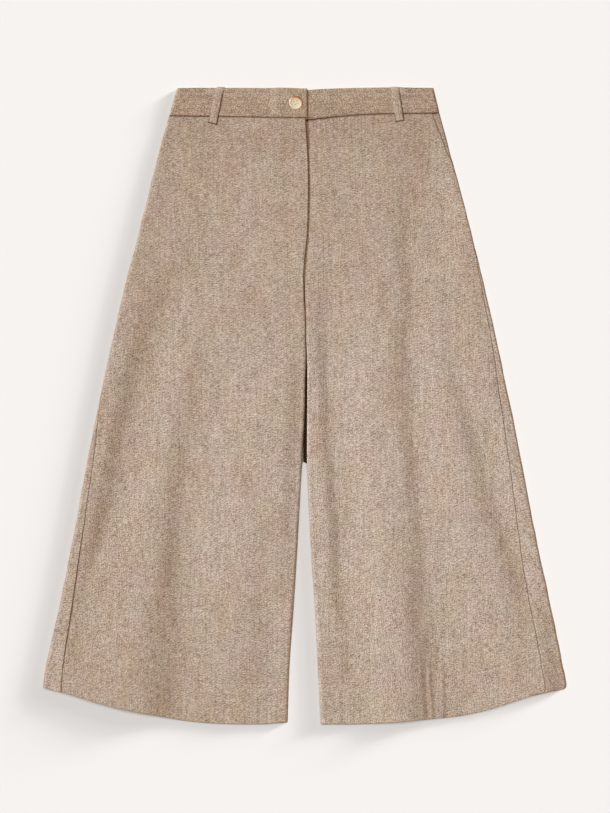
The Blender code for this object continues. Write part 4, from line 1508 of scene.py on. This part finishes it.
@dataclass(frozen=True)
class MarledTwill:
    """Brushed wool-mix twill, woven from flecked beige, rose and brown yarns and lightly fulled.

    The short fibres scatter the light, so it has no shine, and the mixed yarns give it a grain of
    light and dark specks. Real yarns of this cloth are about 0.8 mm apart, less than what the view
    from above can show, so its grain is drawn about three times as coarse. Painted shade, stored on
    each point of the cloth, turns it a deeper and warmer brown in seams, creases and along edges, and
    near black in the narrow gap above the fork.
    """

    name: str
    dark: str = "#746050"
    middle: str = "#b8a694"
    light: str = "#e3d9cc"
    # Colours that painted shade mixes the cloth towards: a warm brown in seams, creases and along edges, and
    # near black in the narrow gap above the fork
    seam: str = "#72522d"
    gap: str = "#180e05"
    nep: str = "#4d3c2f"
    rose_tint: tuple[str, ...] = ("#fefdfa", "#fffcfb", "#fffafb")
    brown_tint: tuple[str, ...] = ("#fefeff", "#fefcfb", "#fdf9f4")
    speck_mm: tuple[float, float] = (1.3, 1.3)
    slub_mm: tuple[float, float] = (7.0, 1.7)
    yarn_mm: tuple[float, float] = (1.6, 6.5)
    bar_mm: tuple[float, float] = (3.2, 60.0)
    cloud_mm: tuple[float, float] = (21.0, 18.9)
    rose_mm: tuple[float, float] = (52.0, 44.0)
    brown_mm: tuple[float, float] = (32.0, 78.0)
    twill_mm: float = 3.4
    fleck_mm: float = 9.0

    def material(self) -> Material:
        """Builds the cloth's material."""
        material, tree, shader = new_material(self.name)
        uv = add_node(tree, "UVMap", uv_map=CLOTH_UV)

        def noise(size_mm: tuple[float, float], detail: float, offset: float) -> Node:
            """Noise whose bumps are so many millimetres across and down."""
            scale = (1 / size_mm[0] / MM, 1 / size_mm[1] / MM, 1)
            place = {"Vector": uv, "Scale": scale, "Location": (offset, offset, 0)}
            values = {"Scale": 1.0, "Detail": detail, "Roughness": 0.6}
            mapped = add_node(tree, "Mapping", place)
            return add_node(tree, "TexNoise", {"Vector": mapped, **values}, noise_dimensions="2D")

        specks = noise(self.speck_mm, 3, 11)
        lean = {"Vector": uv, "Rotation": (0, 0, math.radians(32)), "Scale": (1 / MM, 1 / MM, 1)}
        wave = {"Scale": math.pi / 10 / self.twill_mm, "Distortion": 2.6, "Detail": 2, "Detail Scale": 1.2}
        wave["Vector"] = add_node(tree, "Mapping", lean)
        layers = (
            (specks, 1.46),
            (noise(self.slub_mm, 2, 37), 0.56),
            (noise(self.yarn_mm, 1, 71), 0.44),
            (noise(self.bar_mm, 1, 97), 0.2),
            (noise(self.cloud_mm, 2, 5), 0.2),
            (add_node(tree, "TexWave", wave, wave_type="BANDS", bands_direction="Y"), 0.08),
        )
        level = 0.5 - sum(weight for _, weight in layers) / 2
        for layer, weight in layers:
            level = add_node(tree, "Math", {0: layer, 1: weight, 2: level}, operation="MULTIPLY_ADD")
        colour = add_node(tree, "ValToRGB", {0: level})
        set_stops(colour, ((0.12, self.dark), (0.5, self.middle), (0.88, self.light)))
        rose, brown = noise(self.rose_mm, 0, 53), noise(self.brown_mm, 1, 29)
        for patch, tints in ((rose, self.rose_tint), (brown, self.brown_tint)):
            tint = add_node(tree, "ValToRGB", {0: patch})
            set_stops(tint, tuple(zip((0.34, 0.5, 0.66), tints)))
            mixed = {0: 1.0, 6: colour, 7: tint}
            colour = add_node(tree, "Mix", mixed, data_type="RGBA", blend_type="MULTIPLY").outputs[2]
        colour = self.flecks(tree, uv, colour)
        # Painted shade: the stored amount, made grainy by the specks, mixes the colour towards the warm brown
        # and then, past three quarters, towards the near-black gap colour
        painted_shade_level = add_node(tree, "Attribute", attribute_name=PAINTED_SHADE).outputs["Fac"]
        grain = {"Value": specks, "From Min": 0.3, "From Max": 0.7, "To Min": 1.25, "To Max": 0.75}
        rough = add_node(tree, "MapRange", grain)
        shade = add_node(tree, "Math", {0: painted_shade_level, 1: rough}, operation="MULTIPLY")
        for low, high, deep in ((0.0, 0.75, self.seam), (0.75, 1.0, self.gap)):
            share = add_node(tree, "MapRange", {"Value": shade, "From Min": low, "From Max": high})
            mixed = {0: share, 6: colour, 7: linear(deep)}
            colour = add_node(tree, "Mix", mixed, data_type="RGBA").outputs[2]
        bump = add_node(tree, "Bump", {"Strength": 0.45, "Distance": 0.25 * MM, "Height": level})
        matte = {"Roughness": 0.95, "Specular IOR Level": 0.2, "Sheen Weight": 0.12, "Sheen Roughness": 0.5}
        set_inputs(shader, {"Base Color": colour, "Normal": bump, **matte})
        return material

    def flecks(self, tree: Tree, uv: Node, under: Socket) -> Socket:
        """Scatters dark neps: short knots of fibre that were spun into a few of the yarns.

        Args:
            tree: The node tree.
            uv: The cloth's UV map.
            under: The colour without them.

        Returns:
            The colour with them.
        """
        scale = (1 / self.fleck_mm / MM, 1.5 / self.fleck_mm / MM, 1)
        place = add_node(tree, "Mapping", {"Vector": uv, "Scale": scale})
        cells = add_node(tree, "TexVoronoi", {"Vector": place, "Scale": 1.0}, voronoi_dimensions="2D")
        few = {"Value": cells.outputs["Color"], "From Min": 0.72, "From Max": 0.9}
        near = {"Value": cells.outputs["Distance"], "From Min": 0.04, "From Max": 0.17}
        near.update({"To Min": 0.75, "To Max": 0.0})
        chosen = {0: add_node(tree, "MapRange", few), 1: add_node(tree, "MapRange", near)}
        both = add_node(tree, "Math", chosen, operation="MULTIPLY", use_clamp=True)
        return add_node(tree, "Mix", {0: both, 6: under, 7: linear(self.nep)}, data_type="RGBA").outputs[2]


@dataclass(frozen=True)
class HornResin:
    """Polyester resin cast to look like horn, then turned and polished.

    It is milky cream with amber streaks that gather towards the rim, under a soft polish. It is
    browner towards the top and the right, partly as the resin's streaks and partly as painted shade.
    """

    name: str = "horn_effect_resin_turned"
    cream: str = "#e4d4be"
    honey: str = "#e4cfae"
    amber: str = "#d8b283"
    brown: str = "#9c6f46"

    def material(self, middle: Vector, radius: float) -> Material:
        """Builds the resin's material.

        Args:
            middle: The button's axis.
            radius: The button's radius.

        Returns:
            The material.
        """
        material, tree, shader = new_material(self.name)
        place = {"Vector": add_node(tree, "TexCoord").outputs["Object"]}
        place["Location"] = (-middle.x / radius, -middle.y / radius, -middle.z / radius)
        place["Scale"] = (1 / radius,) * 3
        centred = add_node(tree, "Mapping", place)
        cast = {"Vector": centred, "Scale": 1.5, "Detail": 4, "Roughness": 0.6, "Distortion": 1.2}
        # Browner towards the top and the right: partly the resin's streaks, partly painted shade
        lean = add_node(tree, "VectorMath", {0: centred, 1: (0.34, 0.44, 0)}, operation="DOT_PRODUCT")
        flat = add_node(tree, "VectorMath", {0: centred, 1: (1, 1, 0)}, operation="MULTIPLY")
        out = add_node(tree, "VectorMath", {0: flat}, operation="LENGTH").outputs["Value"]
        rim = {"Value": out, "From Min": 0.62, "From Max": 1.0, "To Min": 0.0, "To Max": 0.5}
        level = add_node(tree, "MapRange", rim)
        for socket, weight in ((add_node(tree, "TexNoise", cast), 0.45), (lean.outputs["Value"], 1.0)):
            level = add_node(tree, "Math", {0: socket, 1: weight, 2: level}, operation="MULTIPLY_ADD")
        colour = add_node(tree, "ValToRGB", {0: level})
        set_stops(colour, ((0.34, self.cream), (0.5, self.honey), (0.62, self.amber), (0.88, self.brown)))
        polish = {"Roughness": 0.32, "IOR": 1.55, "Coat Weight": 0.25, "Coat Roughness": 0.2}
        set_inputs(shader, {"Base Color": colour, **polish})
        return material


@dataclass(frozen=True)
class CottonThread:
    """Two-ply mercerised cotton thread: matte, with a light and a dark ply."""

    name: str
    light: str
    dark: str
    ply_mm: float = 0.7

    def material(self) -> Material:
        """Builds the thread's material."""
        material, tree, shader = new_material(self.name)
        place = add_node(tree, "TexCoord").outputs["Object"]
        plies = add_node(tree, "TexNoise", {"Vector": place, "Scale": 1 / (self.ply_mm * MM), "Detail": 2})
        colour = add_node(tree, "ValToRGB", {0: plies})
        set_stops(colour, ((0.35, self.dark), (0.65, self.light)))
        bump = add_node(tree, "Bump", {"Strength": 0.5, "Distance": 0.1 * MM, "Height": plies})
        set_inputs(shader, {"Base Color": colour, "Normal": bump, "Roughness": 0.7})
        return material


@dataclass
class Studio:
    """A pale floor, soft daylight from the upper left, and a camera that looks straight down."""

    photo_width: int = 610
    photo_height: int = 813
    photo_scale: float = 1.3
    middle_x: float = 305.5
    band_top_y: float = 88.0
    lens: float = 135.0
    sensor: float = 36.0
    focus_height: float = 0.006
    floor_size: float = 36.0
    floor_colour: str = "#f3efec"
    fill_colour: str = "#fbf9f8"
    fill_strength: float = 0.17
    backdrop_colour: str = "#f8f4f1"
    lamp_place: tuple[float, ...] = (0.09, -0.1, 0.46)
    lamp_size: float = 0.4
    lamp_strength: float = 0.62
    lamp_colour: str = "#c6deff"

    def build(self, trim: Sequence[Piece]) -> None:
        """Makes the floor, the lights and the camera.

        Args:
            trim: Low pieces that cast no shadow in the light from the side; painted shade beside the belt
                loops and the band's lap stands in for some of it.
        """
        self.lights(self.floor(), trim)
        self.surroundings()
        self.camera()

    def floor(self) -> Piece:
        """Lays a matte pale floor."""
        bpy.ops.mesh.primitive_plane_add(size=self.floor_size, location=(0, 0, 0))
        floor = bpy.context.active_object
        floor.name = "floor"
        material, _, shader = new_material("pale_matte_board")
        matte = {"Base Color": linear(self.floor_colour), "Roughness": 1.0, "Specular IOR Level": 0.0}
        set_inputs(shader, matte)
        floor.data.materials.append(material)
        floor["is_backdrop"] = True
        return floor

    def lights(self, floor: Piece, trim: Sequence[Piece]) -> None:
        """Lights the garment from its upper left and the floor apart from it.

        The photograph's garment is lit from its upper left, and its shadow lies to the lower left, as
        if the floor had a light of its own. So the floor has three lights, and the garment three
        others: cool daylight from the side, warmer light from above, which fills its folds, and a lamp.

        Args:
            floor: The floor.
            trim: Low pieces that cast no shadow in the light from the side.
        """
        side = self.sun("garment_side_light", 150, 26, strength=4.46, softness=16, tint="#e3f0ff")
        self.sun("garment_warm_light", 90, 84, strength=0.84, softness=50, tint="#ffc657")
        self.lamp("garment_top_light")
        self.sun("floor_top_light", 90, 80, strength=1.9, softness=30)
        self.sun("floor_middle_light", 30, 16, strength=1.1, softness=16)
        self.sun("floor_low_light", 30, 8, strength=4.2, softness=11)
        for light in bpy.context.scene.objects:
            if light.type == "LIGHT":
                state = "INCLUDE" if light.name.startswith("floor") else "EXCLUDE"
                receivers = self.linked(light.name + "_receivers", [floor], state)
                light.light_linking.receiver_collection = receivers
        side.light_linking.blocker_collection = self.linked("side_light_blockers", trim, "EXCLUDE")

    def surroundings(self) -> None:
        """Fills the room with a weak even light in front of a pale backdrop."""
        world = bpy.data.worlds.new("studio")
        world.use_nodes = True
        tree = world.node_tree
        tree.nodes.clear()
        seen = add_node(tree, "LightPath").outputs["Is Camera Ray"]
        lights = (linear(self.fill_colour), self.fill_strength), (linear(self.backdrop_colour), 1.0)
        fill, backdrop = (add_node(tree, "Background", {"Color": c, "Strength": s}) for c, s in lights)
        both = add_node(tree, "MixShader", {0: seen, 1: fill, 2: backdrop})
        add_node(tree, "OutputWorld", {"Surface": both})
        bpy.context.scene.world = world
        bpy.context.scene.view_settings.view_transform = "Standard"

    def linked(self, name: str, pieces: Sequence[Piece], state: str) -> bpy.types.Collection:
        """Gathers pieces that a light is linked to.

        Args:
            name: The collection's name.
            pieces: The pieces.
            state: INCLUDE for these alone, EXCLUDE for everything else.

        Returns:
            The collection.
        """
        gathered = bpy.data.collections.new(name)
        for piece in pieces:
            gathered.objects.link(piece)
        for member in gathered.collection_objects:
            member.light_linking.link_state = state
        return gathered

    def lamp(self, name: str) -> None:
        """Hangs a cool square lamp low over the fork, so that the top is a little dimmer and warmer."""
        bpy.ops.object.light_add(type="AREA", location=self.lamp_place)
        light = bpy.context.active_object
        light.name = name
        light.data.size, light.data.energy = self.lamp_size, self.lamp_strength
        light.data.color = linear(self.lamp_colour)[:3]

    def sun(
        self, name: str, azimuth: float, elevation: float, strength: float, softness: float, tint: str = WHITE
    ) -> Piece:
        """Adds a distant light.

        Args:
            name: The light's name.
            azimuth: Degrees from +X towards +Y that it comes from.
            elevation: Degrees above the floor.
            strength: Its strength.
            softness: Its angle as seen from the floor, in degrees.
            tint: Its colour.

        Returns:
            The light's object.
        """
        bpy.ops.object.light_add(type="SUN", location=(0, 0, 2))
        light = bpy.context.active_object
        light.name = name
        light.data.energy, light.data.angle = strength, math.radians(softness)
        light.data.color = linear(tint)[:3]
        turn, rise = math.radians(azimuth), math.radians(elevation)
        level = math.cos(rise)
        comes_from = Vector((math.cos(turn) * level, math.sin(turn) * level, math.sin(rise)))
        light.rotation_euler = comes_from.to_track_quat("Z", "Y").to_euler()
        return light

    def camera(self) -> None:
        """Hangs the camera over the photograph's middle, at the distance that gives its scale."""
        x = (self.photo_width / 2 - self.middle_x) * self.photo_scale
        drop = (self.photo_height / 2 - self.band_top_y) * self.photo_scale
        tall = self.photo_height * self.photo_scale * MM
        data = bpy.data.cameras.new("camera")
        data.lens, data.sensor_width, data.clip_end = self.lens, self.sensor, 100
        camera = bpy.data.objects.new("camera", data)
        camera.location = PLACEMENT.points(x, drop, 0)[0]
        camera.location.z = tall * self.lens / self.sensor + self.focus_height
        bpy.context.scene.collection.objects.link(camera)
        bpy.context.scene.camera = camera


def main() -> None:
    """Builds every piece over its node, then the studio."""
    logging.basicConfig(level=logging.INFO, format="%(name)s: %(message)s")
    twill = MarledTwill("marled_wool_twill_brushed")
    # Copies of the cloth, darker for the waistband and lighter for the belt loops
    band_twill = MarledTwill("marled_wool_twill_band", dark="#685544", middle="#b09c88", light="#dfd1be")
    loop_twill = MarledTwill("marled_wool_twill_loops", dark="#766352", middle="#baa795", light="#dfd1c3")
    leg_cloth, band_cloth, loop_cloth = (cloth.material() for cloth in (twill, band_twill, loop_twill))
    for side in Side:
        for face in Face:
            LegPanel(side, face).build(leg_cloth)
    band = Waistband()
    trim = [band.build_front(side, band_cloth) for side in Side]
    band.build_back(band_cloth)
    loops = (
        BeltLoop(Side.RIGHT, -110.2, -1.4, -121.1, 46.5),
        BeltLoop(Side.LEFT, 116.3, -1.6, 122.8, 43.5),
    )
    trim += [loop.build(band, loop_cloth) for loop in loops]
    button = Button()
    trim.append(button.build(HornResin().material(button.axis(), button.radius * MM)))
    grey_thread = CottonThread("cotton_thread_grey", "#c9c2a8", "#a39b80").material()
    brown_thread = CottonThread("cotton_thread_brown", "#a08a70", "#705c47").material()
    stitching = FlyStitching()
    trim.append(button.build_thread(grey_thread))
    trim += [stitching.buttonhole(band, brown_thread), stitching.bar_tack(brown_thread)]
    Studio().build(trim)
    boxes = {"cad": CAD_BOX, "visual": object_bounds()}
    {name: [list(corner) for corner in box] for name, box in boxes.items()}


if __name__ == "__main__":
    main()
